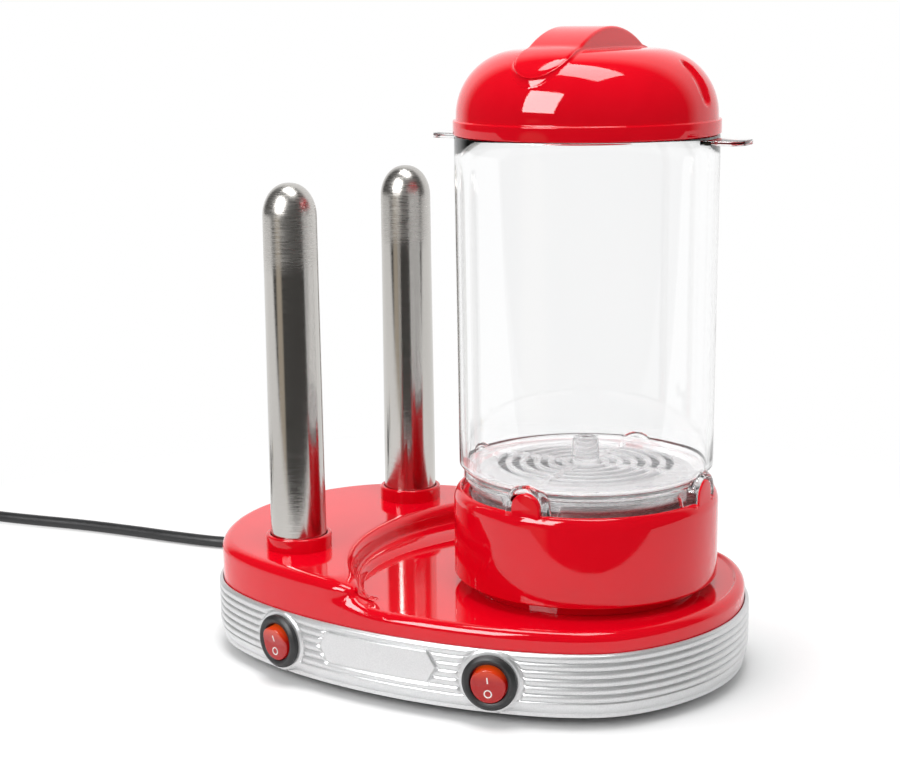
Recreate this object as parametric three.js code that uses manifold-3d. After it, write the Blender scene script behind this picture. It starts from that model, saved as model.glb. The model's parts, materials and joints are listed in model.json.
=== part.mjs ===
// Countertop hot dog steamer with two heated bun spikes. Millimetres, +Z up.
// The origin is under the middle of the object, on the surface that it stands on.
// +X points to the steaming jar, -Y to the front with its two switches.
import * as THREE from 'three';
import { mergeVertices } from 'three/addons/utils/BufferGeometryUtils.js';
import { ParametricGeometry } from 'three/addons/geometries/ParametricGeometry.js';
import Module from 'manifold-3d';

const wasm = await Module();
wasm.setup();

const GAP = 0.3; // clearance between touching pieces

// Base outline: an oval given by the distance from its centre to each tangent line.
const BASE_X = -1; // middle of the oval
const HALF_LENGTH = 124.1;
const HALF_DEPTH = 89.6;
const SQUARENESS = 3.1;
const END_FULLNESS = 0.92;
const OVAL_STEPS = 48;

// Heights of the base
const FOOT_HEIGHT = 2.8;
const PLATE_BOTTOM = 3.1;
const PLATE_TOP = 5.1;
const SKIRT_BOTTOM = 3.4;
const FOOT_R = 7.5;
const FOOT_STEM_R = 2.5;
const FOOT_X = 80;
const FOOT_Y = 50;
const SCREW_X = 96;
const SCREW_Y = 30;
const SHELF_Z = 27;
const LEDGE_Z = 32;
const TRAY_Z = 39.4;
const RIM_Z = 40.6;
const STEP_Z = 42.4;
const PLATEAU_Z = 50.4;
const COVER_WALL = 2.4;
const SKIRT_PROUD = 2; // rib crests outside the cover's wall
const RIBS = 6;
const RIB_PITCH = 3.3;
const RIB_DEPTH = 0.8;

// Steaming side
const JAR_X = 53;
const PLATEAU_ARC = 105; // edge of the upper deck, round the jar's axis
const STEP_ARC = 99;
const DRUM_R = 57;
const DRUM_BOTTOM = 44.5;
const DRUM_TOP = 82.3;
const NECK_R = 53.5;
const SPIGOT_R = 46.7;
const SEAT_Z = 80; // ledge that the jar's feet stand on
const TAB_TOP = 91;
const TAB_WIDTH = 12.8;
const PAN_SEAT_Z = 77.6;
const PAN_BOTTOM = 56;
const PAN_R = 44;
const JAR_TOP = 233.2;
const JAR_TOP_R = 55.4;
const JAR_LOW_R = 54.5;
const JAR_WALL = 2;
const JAR_HEEL_Z = 93;
const JAR_RING_R = 52.3;
const LEDGE_R = 47;
const GRATE_Z = 90.6;
const GRATE_R = 51.6;
const GRATE_THICK = 2;
const KNOB_TOP = 103.8;
const SLOT_ROWS = 5;
const SLOT_FIRST_R = 12;
const SLOT_PITCH = 6.1;
const SLOT_WIDTH = 3;
const LUG_REACH = 72;
const LUG_Z = 230.4;
const LID_BOTTOM = 233.5;
const BAND_TOP = 239.4;
const DOME_R = 54.6;
const DOME_CORNER = 27;
const DOME_TOP = 268;
const RIDGE_TOP = 277.2;
const RIDGE_ARC = 60;
const RIDGE_WIDTH = 24;
const LID_WALL = 2;
const LID_LIP = 1.6; // how far its rim reaches into the jar

// Bun spikes
const SPIKE_X = -66;
const SPIKE_Y = 47.3;
const SPIKE_R = 12.4;
const SPIKE_TIP_R = 11.7;
const SPIKE_TOP = 212.4;
const COLLAR_R = 14.6;
const COLLAR_TOP = 56.7;

// Switches
const SWITCH_TURN = 12.8; // degrees that each faces away from straight ahead
const SWITCH_Z = 18.6;
const BEZEL_R = 11.5;
const SWITCH_BODY_R = 9.8;
const ROCKER_R = 7.6;
const ROCKER_TILT = 9; // degrees each side of level
const PAD_R = 13.4;
const PAD_PROUD = 1.9;

// Plate with pointed ends between the switches
const LABEL_TIP = 28.7;
const LABEL_FLAT_HALF = 24.6;
const LABEL_LOW = 15.3;
const LABEL_HIGH = 28.5;

// Mains cord
const CORD_R = 3;
const CORD_Z = 3.1;
const EXIT_TURN = 97; // degrees round the outline, just left of the middle of the back
const EXIT_Z = 15;
const RELIEF_LENGTH = 24;
const COIL_X = -385;
const COIL_Y = 8;
const COIL_R = 38;
const COIL_PITCH = 6.2;
const PLUG_X = COIL_X - COIL_R;
const PLUG_Y = -76;
const PLUG_Z = 7.2;
const PIN_X = 9.3;

function material(color, roughness, metalness, opacity = 1) {
  const clear = opacity < 1;
  return new THREE.MeshStandardMaterial({ color, roughness, metalness, opacity, transparent: clear });
}

const RED = material(0xd80f1c, 0.15, 0);
const SILVER = material(0xc9cccd, 0.4, 0.6);
const CLEAR = material(0xf2f6f7, 0.05, 0, 0.3);
const STEEL = material(0xb9b6b2, 0.25, 1);
const ALUMINIUM = material(0xa9abad, 0.45, 1);
const BLACK = material(0x151515, 0.45, 0);
const LENS = material(0xd8201c, 0.1, 0, 0.8);
const CERAMIC = material(0xe6dfd0, 0.7, 0);
const RUBBER = material(0x202020, 0.8, 0);
const BRASS = material(0xb99a4a, 0.3, 1);
const LABEL = material(0xd9dbdc, 0.35, 0.5);
const WIRE = material(0xb8b2a6, 0.6, 0);

// Closed mesh with shared vertices, no flat triangles and its faces pointing out.
function closed(geometry) {
  let source = geometry.clone();
  source.deleteAttribute('normal');
  source.deleteAttribute('uv');
  source = mergeVertices(source, 1e-4);
  const place = source.attributes.position;
  const old = source.index.array;
  const index = [];
  let volume = 0;
  const a = new THREE.Vector3();
  const b = new THREE.Vector3();
  const c = new THREE.Vector3();
  for (let i = 0; i < old.length; i += 3) {
    const [p, q, r] = [old[i], old[i + 1], old[i + 2]];
    if (p === q || q === r || r === p) {
      continue;
    }
    index.push(p, q, r);
    a.fromBufferAttribute(place, p);
    b.fromBufferAttribute(place, q);
    c.fromBufferAttribute(place, r);
    volume += a.dot(b.cross(c));
  }
  if (volume < 0) {
    index.reverse();
  }
  source.setIndex(index);
  return source;
}

function solid(geometry) {
  const source = closed(geometry);
  const vertProperties = new Float32Array(source.attributes.position.array);
  const triVerts = new Uint32Array(source.index.array);
  return new wasm.Manifold(new wasm.Mesh({ numProp: 3, vertProperties, triVerts }));
}

function toGeometry(body) {
  const mesh = body.getMesh();
  const geometry = new THREE.BufferGeometry();
  geometry.setAttribute('position', new THREE.BufferAttribute(new Float32Array(mesh.vertProperties), 3));
  geometry.setIndex(Array.from(mesh.triVerts));
  geometry.computeVertexNormals();
  return geometry;
}

function join(bodies) {
  return bodies.reduce((sum, body) => sum.add(body));
}

// Point of the base outline whose outward normal has the given angle, moved out by offset.
function ovalPoint(angle, offset) {
  const cos = Math.cos(angle);
  const sin = Math.sin(angle);
  const root = Math.hypot(HALF_LENGTH * cos, HALF_DEPTH * sin);
  const shape = END_FULLNESS * Math.cos(6 * angle) - SQUARENESS * Math.cos(4 * angle);
  const reach = root + shape + offset;
  const ellipseTurn = ((HALF_DEPTH ** 2 - HALF_LENGTH ** 2) * sin * cos) / root;
  const turn = ellipseTurn + 4 * SQUARENESS * Math.sin(4 * angle) - 6 * END_FULLNESS * Math.sin(6 * angle);
  return new THREE.Vector2(BASE_X + reach * cos - turn * sin, reach * sin + turn * cos);
}

const EXIT = ovalPoint(THREE.MathUtils.degToRad(EXIT_TURN), 0);

// Ring whose section follows the base outline; each profile point is [offset, height].
function ovalRing(profile, steps = OVAL_STEPS) {
  const wall = (u, v, target) => {
    const [offset, z] = profile[Math.round(v * profile.length) % profile.length];
    const point = ovalPoint(2 * Math.PI * (Math.round(u * steps) % steps) / steps, offset);
    target.set(point.x, point.y, z);
  };
  return new ParametricGeometry(wall, steps, profile.length);
}

// Solid inside the base outline, closed by flat ends at the first and last profile point.
function ovalSolid(profile, steps = OVAL_STEPS) {
  const rows = [null, ...profile, null];
  const last = rows.length - 1;
  const wall = (u, v, target) => {
    const row = Math.round(v * last);
    if (row === 0 || row === last) {
      target.set(BASE_X, 0, row === 0 ? profile[0][1] : profile[profile.length - 1][1]);
      return;
    }
    const point = ovalPoint(2 * Math.PI * (Math.round(u * steps) % steps) / steps, rows[row][0]);
    target.set(point.x, point.y, rows[row][1]);
  };
  return new ParametricGeometry(wall, steps, last);
}

// Turned piece about +Z; each point is [radius, height].
function lathe(points, segments = 40) {
  const profile = points.map(([r, z]) => new THREE.Vector2(r, z));
  return new THREE.LatheGeometry(profile, segments).rotateX(Math.PI / 2);
}

function ring(points, segments = 40) {
  return lathe([...points, points[0]], segments);
}

function cylinder(radius, z0, z1, segments = 24) {
  const round = new THREE.CylinderGeometry(radius, radius, z1 - z0, segments);
  return round.rotateX(Math.PI / 2).translate(0, 0, (z0 + z1) / 2);
}

function box(x0, x1, y0, y1, z0, z1) {
  const block = new THREE.BoxGeometry(x1 - x0, y1 - y0, z1 - z0);
  return block.translate((x0 + x1) / 2, (y0 + y1) / 2, (z0 + z1) / 2);
}

function tube(points, radius, sides, steps) {
  const path = new THREE.CatmullRomCurve3(points.map((p) => new THREE.Vector3(...p)), false, 'centripetal');
  const section = new THREE.Shape();
  for (let i = 0; i < sides; i += 1) {
    const angle = (2 * Math.PI * i) / sides;
    const x = radius * Math.cos(angle);
    const y = radius * Math.sin(angle);
    if (i === 0) {
      section.moveTo(x, y);
    } else {
      section.lineTo(x, y);
    }
  }
  return new THREE.ExtrudeGeometry(section, { steps, extrudePath: path, bevelEnabled: false });
}

const parts = new THREE.Group();

function add(name, geometry, look) {
  const mesh = new THREE.Mesh(closed(geometry), look.clone());
  mesh.name = name;
  parts.add(mesh);
  return mesh;
}

// Where each switch sits: its centre on the skirt and the way it faces.
function switchFrame(side) {
  const angle = -Math.PI / 2 + THREE.MathUtils.degToRad(SWITCH_TURN) * side;
  const point = ovalPoint(angle, PAD_PROUD);
  return { x: point.x, y: point.y, turn: THREE.MathUtils.degToRad(SWITCH_TURN) * side };
}

// Turns a piece made along +Z, facing out, to face out of the skirt at a switch.
function faceSwitch(geometry, side) {
  const frame = switchFrame(side);
  geometry.rotateX(Math.PI / 2);
  geometry.rotateZ(frame.turn);
  return geometry.translate(frame.x, frame.y, SWITCH_Z);
}

function skirt() {
  const profile = [[GAP, LEDGE_Z], [SKIRT_PROUD - 0.8, LEDGE_Z]];
  for (let i = 0; i < RIBS; i += 1) {
    const top = LEDGE_Z - 0.6 - i * RIB_PITCH;
    profile.push([SKIRT_PROUD, top - RIB_PITCH / 2]);
    profile.push([SKIRT_PROUD - RIB_DEPTH, top - RIB_PITCH]);
  }
  profile.push([SKIRT_PROUD - 0.5, 10.5], [0.4, 7], [-1.6, 4.6], [-5.2, SKIRT_BOTTOM]);
  profile.push([-6.4, SKIRT_BOTTOM], [-6.4, 5.6], [-1.2, 9.5]);
  profile.push([-1.2, SHELF_Z - GAP], [GAP, SHELF_Z - GAP]);
  let body = solid(ovalRing(profile));
  for (const side of [-1, 1]) {
    body = body.add(solid(faceSwitch(cylinder(PAD_R, -4, 0, 20), side)));
  }
  body = body.subtract(solid(ovalSolid([[GAP, SHELF_Z - GAP], [GAP, LEDGE_Z + 2]])));
  for (const side of [-1, 1]) {
    body = body.subtract(solid(faceSwitch(cylinder(SWITCH_BODY_R + GAP, -12, 4, 20), side)));
  }
  const plate = box(-32 + BASE_X, 32 + BASE_X, -95, -80, 14.4, 29.4);
  body = body.add(solid(plate).intersect(solid(ovalRing([[0.3, 5], [1.8, 5], [1.8, 31], [0.3, 31]]))));
  const way = cylinder(5.5, -10, 10, 12).rotateX(Math.PI / 2);
  return body.subtract(solid(way.translate(EXIT.x, EXIT.y, EXIT_Z)));
}

function bottomPlate() {
  let body = solid(ovalSolid([[-6.8, PLATE_BOTTOM], [-6.8, PLATE_TOP]]));
  for (const [x, y] of footPlaces()) {
    body = body.subtract(solid(cylinder(2.8, 0, 10, 12).translate(x, y, 0)));
  }
  for (const [x, y] of screwPlaces()) {
    body = body.subtract(solid(cylinder(1.9, 0, 10, 12).translate(x, y, 0)));
    body = body.subtract(solid(cylinder(3.6, 0, 4.1, 12).translate(x, y, 0)));
  }
  const vent = box(-1.6, 1.6, -14, 14, 0, 10);
  for (let i = -2; i <= 2; i += 1) {
    body = body.subtract(solid(vent.clone().translate(i * 9, 0, 0)));
  }
  return body;
}

function cornerPlaces(x, y) {
  return [[BASE_X - x, -y], [BASE_X + x, -y], [BASE_X - x, y], [BASE_X + x, y]];
}

function footPlaces() {
  return cornerPlaces(FOOT_X, FOOT_Y);
}

function screwPlaces() {
  return cornerPlaces(SCREW_X, SCREW_Y);
}

function foot(x, y) {
  const profile = [
    [0, 0], [FOOT_R - 1, 0], [FOOT_R, 0.8], [FOOT_R, FOOT_HEIGHT], [FOOT_STEM_R, FOOT_HEIGHT],
    [FOOT_STEM_R, PLATE_TOP + 0.5], [FOOT_STEM_R + 0.7, PLATE_TOP + 1.3], [0, PLATE_TOP + 2.3],
  ];
  return lathe(profile, 12).translate(x, y, 0);
}

function screw(x, y) {
  const profile = [[0, 2.9], [2.2, 2.9], [3.2, 3.5], [3.2, 4], [1.5, 4], [1.5, 13], [0, 14.5]];
  return lathe(profile, 8).translate(x, y, 0);
}

// Red upper moulding: tray round the drum on the right, upper deck on the left.
function topCover() {
  const aboutJar = (r, z0, z1) => solid(cylinder(r, z0, z1, 72).translate(JAR_X, 0, 0));
  const edge = [[0, SHELF_Z], [0, RIM_Z - 3], [-0.9, RIM_Z - 1], [-3.2, RIM_Z]];
  const deckEdge = [[0, SHELF_Z], [0, PLATEAU_Z - 4.5], [-1.2, PLATEAU_Z - 1.4], [-4, PLATEAU_Z]];
  const floor = solid(ovalSolid([[-7.2, TRAY_Z], [-5.2, RIM_Z + 1]]));
  const tray = solid(ovalSolid(edge)).subtract(floor);
  let deck = solid(ovalSolid(deckEdge)).subtract(aboutJar(PLATEAU_ARC, STEP_Z, 70));
  deck = deck.subtract(aboutJar(STEP_ARC, TRAY_Z, 50));
  let body = tray.add(deck);
  body = body.subtract(solid(ovalSolid([[-COVER_WALL, 20], [-COVER_WALL, TRAY_Z - COVER_WALL]])));
  const loft = solid(ovalSolid([[-COVER_WALL, 30], [-COVER_WALL, 45], [-5, PLATEAU_Z - COVER_WALL]]));
  body = body.subtract(loft.subtract(aboutJar(PLATEAU_ARC + 3, 20, 70)));
  body = body.subtract(aboutJar(SPIGOT_R + GAP, 20, 60));
  for (const y of [-SPIKE_Y, SPIKE_Y]) {
    body = body.subtract(solid(cylinder(SPIKE_R + 0.6, 40, 60, 32).translate(SPIKE_X, y, 0)));
  }
  for (const [x, y] of screwPlaces()) {
    const top = (x < 0 ? PLATEAU_Z : TRAY_Z) - 1;
    const post = [[1.7, PLATE_TOP + GAP], [4, PLATE_TOP + GAP], [4, top], [1.7, top]];
    body = body.add(solid(ring(post, 12).translate(x, y, 0)));
  }
  for (const side of [-1, 1]) {
    body = body.subtract(solid(faceSwitch(cylinder(SWITCH_BODY_R + 2 * GAP, -20, 4, 20), side)));
  }
  return body;
}

// One locating tab of the drum, or with clearance the pocket that the jar has over it.
function tab(turn, clearance) {
  const half = TAB_WIDTH / 2 + clearance;
  const outline = new THREE.Shape();
  const shoulder = TAB_TOP - TAB_WIDTH / 2;
  outline.moveTo(-half, SEAT_Z - 2);
  outline.lineTo(half, SEAT_Z - 2);
  outline.absarc(0, shoulder, half, 0, Math.PI, false);
  const depth = 3.2 + 2 * clearance;
  const slab = new THREE.ExtrudeGeometry(outline, { depth, bevelEnabled: false, curveSegments: 8 });
  slab.rotateX(Math.PI / 2).rotateZ(Math.PI / 2).translate(JAR_RING_R + 0.5 - clearance, 0, 0);
  return slab.rotateZ(turn).translate(JAR_X, 0, 0);
}

function steamDrum() {
  const profile = [
    [DRUM_R, DRUM_BOTTOM + 1.4], [DRUM_R, DRUM_TOP - 4], [DRUM_R - 0.9, DRUM_TOP - 1.6],
    [DRUM_R - 2.6, DRUM_TOP],
    [53.6, DRUM_TOP], [53.2, SEAT_Z], [50.2, SEAT_Z], [50.2, PAN_SEAT_Z], [47.4, PAN_SEAT_Z],
    [47.4, DRUM_BOTTOM + 2], [SPIGOT_R - 2, DRUM_BOTTOM], [SPIGOT_R - 2, TRAY_Z - 5],
    [SPIGOT_R, TRAY_Z - 5], [SPIGOT_R, TRAY_Z + GAP], [NECK_R, TRAY_Z + GAP], [NECK_R, DRUM_BOTTOM],
    [DRUM_R - 1.4, DRUM_BOTTOM],
  ];
  let body = solid(ring(profile).translate(JAR_X, 0, 0));
  for (let i = 0; i < 4; i += 1) {
    body = body.add(solid(tab((i * Math.PI) / 2, 0)));
  }
  return body;
}

function waterPan() {
  const rim = PAN_SEAT_Z + GAP;
  const profile = [
    [0, PAN_BOTTOM], [PAN_R - 4, PAN_BOTTOM], [PAN_R, PAN_BOTTOM + 4], [PAN_R + 1, rim], [49.8, rim],
    [49.8, rim + 1.2], [PAN_R - 0.4, rim + 1.2], [PAN_R - 1.4, PAN_BOTTOM + 5], [PAN_R - 5, PAN_BOTTOM + 1.5],
    [0, PAN_BOTTOM + 1.5],
  ];
  return lathe(profile, 32).translate(JAR_X, 0, 0);
}

// Open loop of sheathed element under the pan, with its two cold ends turned down.
function panHeater() {
  const z = PAN_BOTTOM - 4 - GAP;
  const points = [[JAR_X + 30, -6, 36], [JAR_X + 30, -6, z - 3]];
  for (let i = 1; i < 16; i += 1) {
    const angle = (2 * Math.PI * i) / 16;
    points.push([JAR_X + 30 * Math.cos(angle), -30 * Math.sin(angle), z]);
  }
  points.push([JAR_X + 30, 6, z - 3], [JAR_X + 30, 6, 36]);
  return tube(points, 3.6, 6, 30);
}

function thermostat() {
  const top = PAN_BOTTOM - GAP;
  const flange = top - 3.2;
  const profile = [[0, 43], [9.5, 43], [9.5, flange], [11.5, flange], [11.5, top], [0, top]];
  return lathe(profile, 20).translate(JAR_X, 0, 0);
}

function thermalFuse() {
  const round = new THREE.CylinderGeometry(2, 2, 12, 12);
  return round.translate(JAR_X - 17, 0, PAN_BOTTOM - 2 - GAP);
}

// Clear tube with a heel, a ledge for the grate, feet beside the drum's tabs and two lugs.
function jar() {
  const inner = JAR_TOP_R - JAR_WALL;
  const profile = [
    [JAR_LOW_R, JAR_HEEL_Z], [JAR_TOP_R, JAR_TOP], [inner, JAR_TOP], [JAR_LOW_R - JAR_WALL, GRATE_Z],
    [LEDGE_R, GRATE_Z - GAP], [LEDGE_R, GRATE_Z - 2.3], [JAR_RING_R - 1.8, GRATE_Z - 2.3],
    [JAR_RING_R - 1.8, SEAT_Z + GAP], [JAR_RING_R, SEAT_Z + GAP], [JAR_RING_R, 89],
  ];
  let body = solid(ring(profile).translate(JAR_X, 0, 0));
  for (let i = 0; i < 4; i += 1) {
    const turn = (i * Math.PI) / 2;
    body = body.subtract(solid(tab(turn, 0.6)));
    const cutUp = box(30, 60, -18, 18, SEAT_Z - 1, 86).rotateZ(turn + Math.PI / 4);
    body = body.subtract(solid(cutUp.translate(JAR_X, 0, 0)));
  }
  for (const side of [-1, 1]) {
    body = body.add(solid(lug(side)));
  }
  return body;
}

function lug(side) {
  const outline = new THREE.Shape();
  outline.moveTo(54, -9);
  outline.lineTo(LUG_REACH - 6, -9);
  outline.absarc(LUG_REACH - 6, -3, 6, -Math.PI / 2, 0, false);
  outline.absarc(LUG_REACH - 6, 3, 6, 0, Math.PI / 2, false);
  outline.lineTo(54, 9);
  const plate = new THREE.ExtrudeGeometry(outline, { depth: 2, bevelEnabled: false, curveSegments: 4 });
  return plate.rotateZ(side > 0 ? 0 : Math.PI).translate(JAR_X, 0, LUG_Z);
}

function ringSlot(radius, width, from, to) {
  const outline = new THREE.Shape();
  outline.absarc(0, 0, radius + width / 2, from, to, false);
  outline.absarc(0, 0, radius - width / 2, to, from, true);
  return new THREE.ExtrudeGeometry(outline, { depth: 10, bevelEnabled: false, curveSegments: 4 });
}

function steamGrate() {
  const top = GRATE_Z + GRATE_THICK;
  const disc = lathe([[0, GRATE_Z + GAP], [GRATE_R, GRATE_Z + GAP], [GRATE_R, top], [0, top]], 32);
  const knobProfile = [
    [0, top - 1], [7.5, top - 1], [5.6, top + 1.5], [5.2, KNOB_TOP - 2], [3.6, KNOB_TOP], [0, KNOB_TOP],
  ];
  const knob = lathe(knobProfile, 16);
  let body = solid(disc).add(solid(knob));
  for (let row = 0; row < SLOT_ROWS; row += 1) {
    const radius = SLOT_FIRST_R + row * SLOT_PITCH;
    const spoke = 3 / radius;
    for (let i = 0; i < 4; i += 1) {
      const from = (i * Math.PI) / 2 + spoke;
      const slot = ringSlot(radius, SLOT_WIDTH, from, from + Math.PI / 2 - 2 * spoke);
      body = body.subtract(solid(slot.translate(0, 0, GRATE_Z - 3)));
    }
  }
  return body.translate([JAR_X, 0, 0]);
}

// Dome outline from the band to the crown, set in by a wall where it is the inside.
function domeProfile(inset) {
  const corner = DOME_CORNER - inset;
  const middle = DOME_TOP - DOME_CORNER;
  const points = [];
  for (let i = 0; i <= 6; i += 1) {
    const angle = (Math.PI / 2) * (i / 6);
    const r = DOME_R - DOME_CORNER + corner * Math.cos(angle);
    points.push([r, middle + corner * Math.sin(angle)]);
  }
  points.push([0, DOME_TOP - inset + 0.4]);
  return points;
}

function lid() {
  const plug = JAR_TOP_R - JAR_WALL - 0.5;
  const outer = [
    [0, LID_BOTTOM - LID_LIP], [plug, LID_BOTTOM - LID_LIP], [plug, LID_BOTTOM],
    [JAR_TOP_R + 0.4, LID_BOTTOM],
    [JAR_TOP_R + 0.4, BAND_TOP - 0.5], [DOME_R + 0.5, BAND_TOP], ...domeProfile(0),
  ];
  const hollow = [[0, LID_BOTTOM - 8], [plug - LID_WALL, LID_BOTTOM - 8], ...domeProfile(LID_WALL)];
  let body = solid(lathe(outer));
  body = body.add(solid(handleRidge()));
  body = body.subtract(solid(lathe(hollow)));
  for (const side of [-1, 1]) {
    const dimple = new THREE.CapsuleGeometry(3.6, 14, 4, 10).rotateX(Math.PI / 2);
    dimple.rotateY(-side * THREE.MathUtils.degToRad(24)).translate(side * 52.4, 0, 254.5);
    body = body.subtract(solid(dimple));
  }
  return body.translate([JAR_X, 0, 0]);
}

// Half-moon grip across the lid from front to back, which runs down the dome at both ends.
function handleRidge() {
  const outline = new THREE.Shape();
  const centre = RIDGE_TOP - RIDGE_ARC;
  const reach = Math.acos((256 - centre) / RIDGE_ARC);
  outline.moveTo(-49.6, 250);
  outline.lineTo(49.6, 250);
  outline.lineTo(49.2, 257);
  outline.absarc(0, centre, RIDGE_ARC, Math.PI / 2 - reach, Math.PI / 2 + reach, false);
  outline.lineTo(-49.2, 257);
  const slab = { depth: RIDGE_WIDTH, bevelEnabled: false, curveSegments: 16 };
  const ridge = new THREE.ExtrudeGeometry(outline, slab).rotateX(Math.PI / 2).rotateZ(Math.PI / 2);
  return ridge.translate(-RIDGE_WIDTH / 2, 0, 0);
}

function collar(y) {
  const inner = SPIKE_R + GAP;
  const bottom = PLATEAU_Z + GAP;
  const profile = [
    [inner, bottom], [COLLAR_R, bottom], [COLLAR_R, COLLAR_TOP - 1.6], [COLLAR_R - 0.9, COLLAR_TOP],
    [inner, COLLAR_TOP],
  ];
  return ring(profile, 24).translate(SPIKE_X, y, 0);
}

// Drawn steel sleeve, closed at the top, with a flange caught under the deck.
function spike(y) {
  const underside = PLATEAU_Z - COVER_WALL - GAP;
  const tip = (inset) => {
    const points = [];
    for (let i = 0; i < 5; i += 1) {
      const angle = (Math.PI / 2) * (i / 5);
      const r = (SPIKE_TIP_R - inset) * Math.cos(angle);
      points.push([r, SPIKE_TOP - 14 + (14 - inset) * Math.sin(angle)]);
    }
    points.push([0, SPIKE_TOP - inset]);
    return points;
  };
  const wall = 0.9;
  const outer = [[SPIKE_R + 3.5, underside - 1], [SPIKE_R + 3.5, underside], [SPIKE_R, underside], ...tip(0)];
  const inner = [[SPIKE_R - wall, underside - 1], ...tip(wall)].reverse();
  return lathe([...outer, ...inner, outer[0]], 20).translate(SPIKE_X, y, 0);
}

function spikeHeater(y) {
  const profile = [[0, 38], [5, 38], [5, 186], [3.5, 188], [0, 188]];
  return lathe(profile, 14).translate(SPIKE_X, y, 0);
}

// Ceramic plug that centres the rod in its sleeve.
function heaterHolder(y) {
  const r = SPIKE_R - 1.3;
  const profile = [[5.3, 42], [r + 3, 42], [r + 3, 45.8], [r, 45.8], [r, 54], [5.3, 54]];
  return ring(profile, 16).translate(SPIKE_X, y, 0);
}

function switchBezel(side) {
  const flange = [
    [8.6, 0.5], [8.9, 2.6], [10.4, 2.6], [BEZEL_R, 1.4], [BEZEL_R, GAP], [SWITCH_BODY_R, GAP],
    [SWITCH_BODY_R, -17], [0, -17], [0, -14], [8.6, -14],
  ];
  return faceSwitch(lathe([...flange.slice(7), ...flange.slice(0, 8)], 24), side);
}

// Round rocker with a shallow V across its face; it lies with its lower half pressed in.
function rocker(side) {
  const tilt = THREE.MathUtils.degToRad(ROCKER_TILT);
  const valley = 3;
  let body = solid(cylinder(ROCKER_R, -3, valley + 2, 24));
  const upper = box(-12, 12, 0, 14, 0, 8).rotateX(tilt).translate(0, 0, valley);
  const lower = box(-12, 12, -14, 0, 0, 8).rotateX(-tilt).translate(0, 0, valley);
  body = body.subtract(solid(upper).add(solid(lower)));
  return faceSwitch(toGeometry(body).rotateX(tilt), side);
}

function labelPlate() {
  const outline = new THREE.Shape();
  const [half, low, high] = [LABEL_FLAT_HALF, LABEL_LOW, LABEL_HIGH];
  const middle = (low + high) / 2;
  const corners = [
    [-half, low], [half, low], [LABEL_TIP, middle], [half, high], [-half, high], [-LABEL_TIP, middle],
  ];
  corners.forEach(([x, z], i) => (i ? outline.lineTo(x, z) : outline.moveTo(x, z)));
  const slab = new THREE.ExtrudeGeometry(outline, { depth: 20, bevelEnabled: false });
  slab.rotateX(Math.PI / 2).translate(BASE_X, -75, 0);
  const skin = ovalRing([[1.8 + GAP, 10], [2.9, 10], [2.9, 31], [1.8 + GAP, 31]]);
  return solid(slab).intersect(solid(skin));
}

function terminalBlock() {
  let body = solid(box(-44, -14, 30, 44, PLATE_TOP + GAP, 18));
  for (const x of [-38, -29, -20]) {
    body = body.subtract(solid(cylinder(2.6, 12, 20, 10).translate(x, 37, 0)));
  }
  return body;
}

function cordClamp() {
  const body = solid(box(EXIT.x - 10, EXIT.x + 10, 64, 71, PLATE_TOP + GAP, 20));
  const way = cylinder(CORD_R + GAP, -10, 10, 12).rotateX(Math.PI / 2).translate(EXIT.x, 67, EXIT_Z);
  return body.subtract(solid(way));
}

// Moulded sleeve through the skirt's back: a head inside, a groove at the wall and a taper outside.
function strainRelief() {
  const bore = CORD_R + GAP;
  const length = SKIRT_PROUD + RELIEF_LENGTH;
  const profile = [
    [bore, -8], [6.2, -8], [6.2, -4], [5.1, -4], [5.1, SKIRT_PROUD + 1.4], [6.4, SKIRT_PROUD + 1.4],
    [6.2, SKIRT_PROUD + 4], [4.2, length], [bore, length],
  ];
  return ring(profile, 12).rotateX(-Math.PI / 2).translate(EXIT.x, EXIT.y, EXIT_Z);
}

// Cord from its clamp inside the base, out of the back and along the table to the coil.
const CORD_ROUTE = [
  [EXIT.x, 60, EXIT_Z], [EXIT.x, 76, EXIT_Z], [EXIT.x, 94, EXIT_Z], [EXIT.x, 111, EXIT_Z],
  [EXIT.x - 2, 124, 12.6], [EXIT.x - 9, 135, 8.6], [EXIT.x - 21, 142, 4.8], [EXIT.x - 37, 143, CORD_Z],
  [-86, 135, CORD_Z], [-105, 122, CORD_Z], [-126, 105, CORD_Z], [-148, 89, CORD_Z], [-172, 75.5, CORD_Z],
  [-197, 67, CORD_Z], [-225, 62.8, CORD_Z], [-254, 60.4, CORD_Z], [-286, 56.8, CORD_Z], [-320, 50.8, CORD_Z],
  [-342, 47.4, CORD_Z], [COIL_X + 23, COIL_Y + COIL_R, CORD_Z],
];
const CORD_TAIL = [
  [PLUG_X, COIL_Y - 24, 8.4], [PLUG_X, COIL_Y - 36, 5.8], [PLUG_X, COIL_Y - 48, 4.2],
  [PLUG_X, COIL_Y - 62, 5.6], [PLUG_X, PLUG_Y + 8, PLUG_Z], [PLUG_X, PLUG_Y, PLUG_Z],
];

function coil() {
  const r0 = COIL_R - 2.5 * COIL_PITCH - 0.4;
  const r1 = COIL_R + COIL_PITCH / 2 + 0.2;
  const top = 2 * COIL_PITCH;
  const profile = [
    [r0 + 2, 0], [r1 - 2, 0], [r1, 2], [r1, top - 2], [r1 - 2, top], [r0 + 2, top], [r0, top - 2], [r0, 2],
  ];
  return ring(profile, 24).translate(COIL_X, COIL_Y, 0);
}

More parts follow.
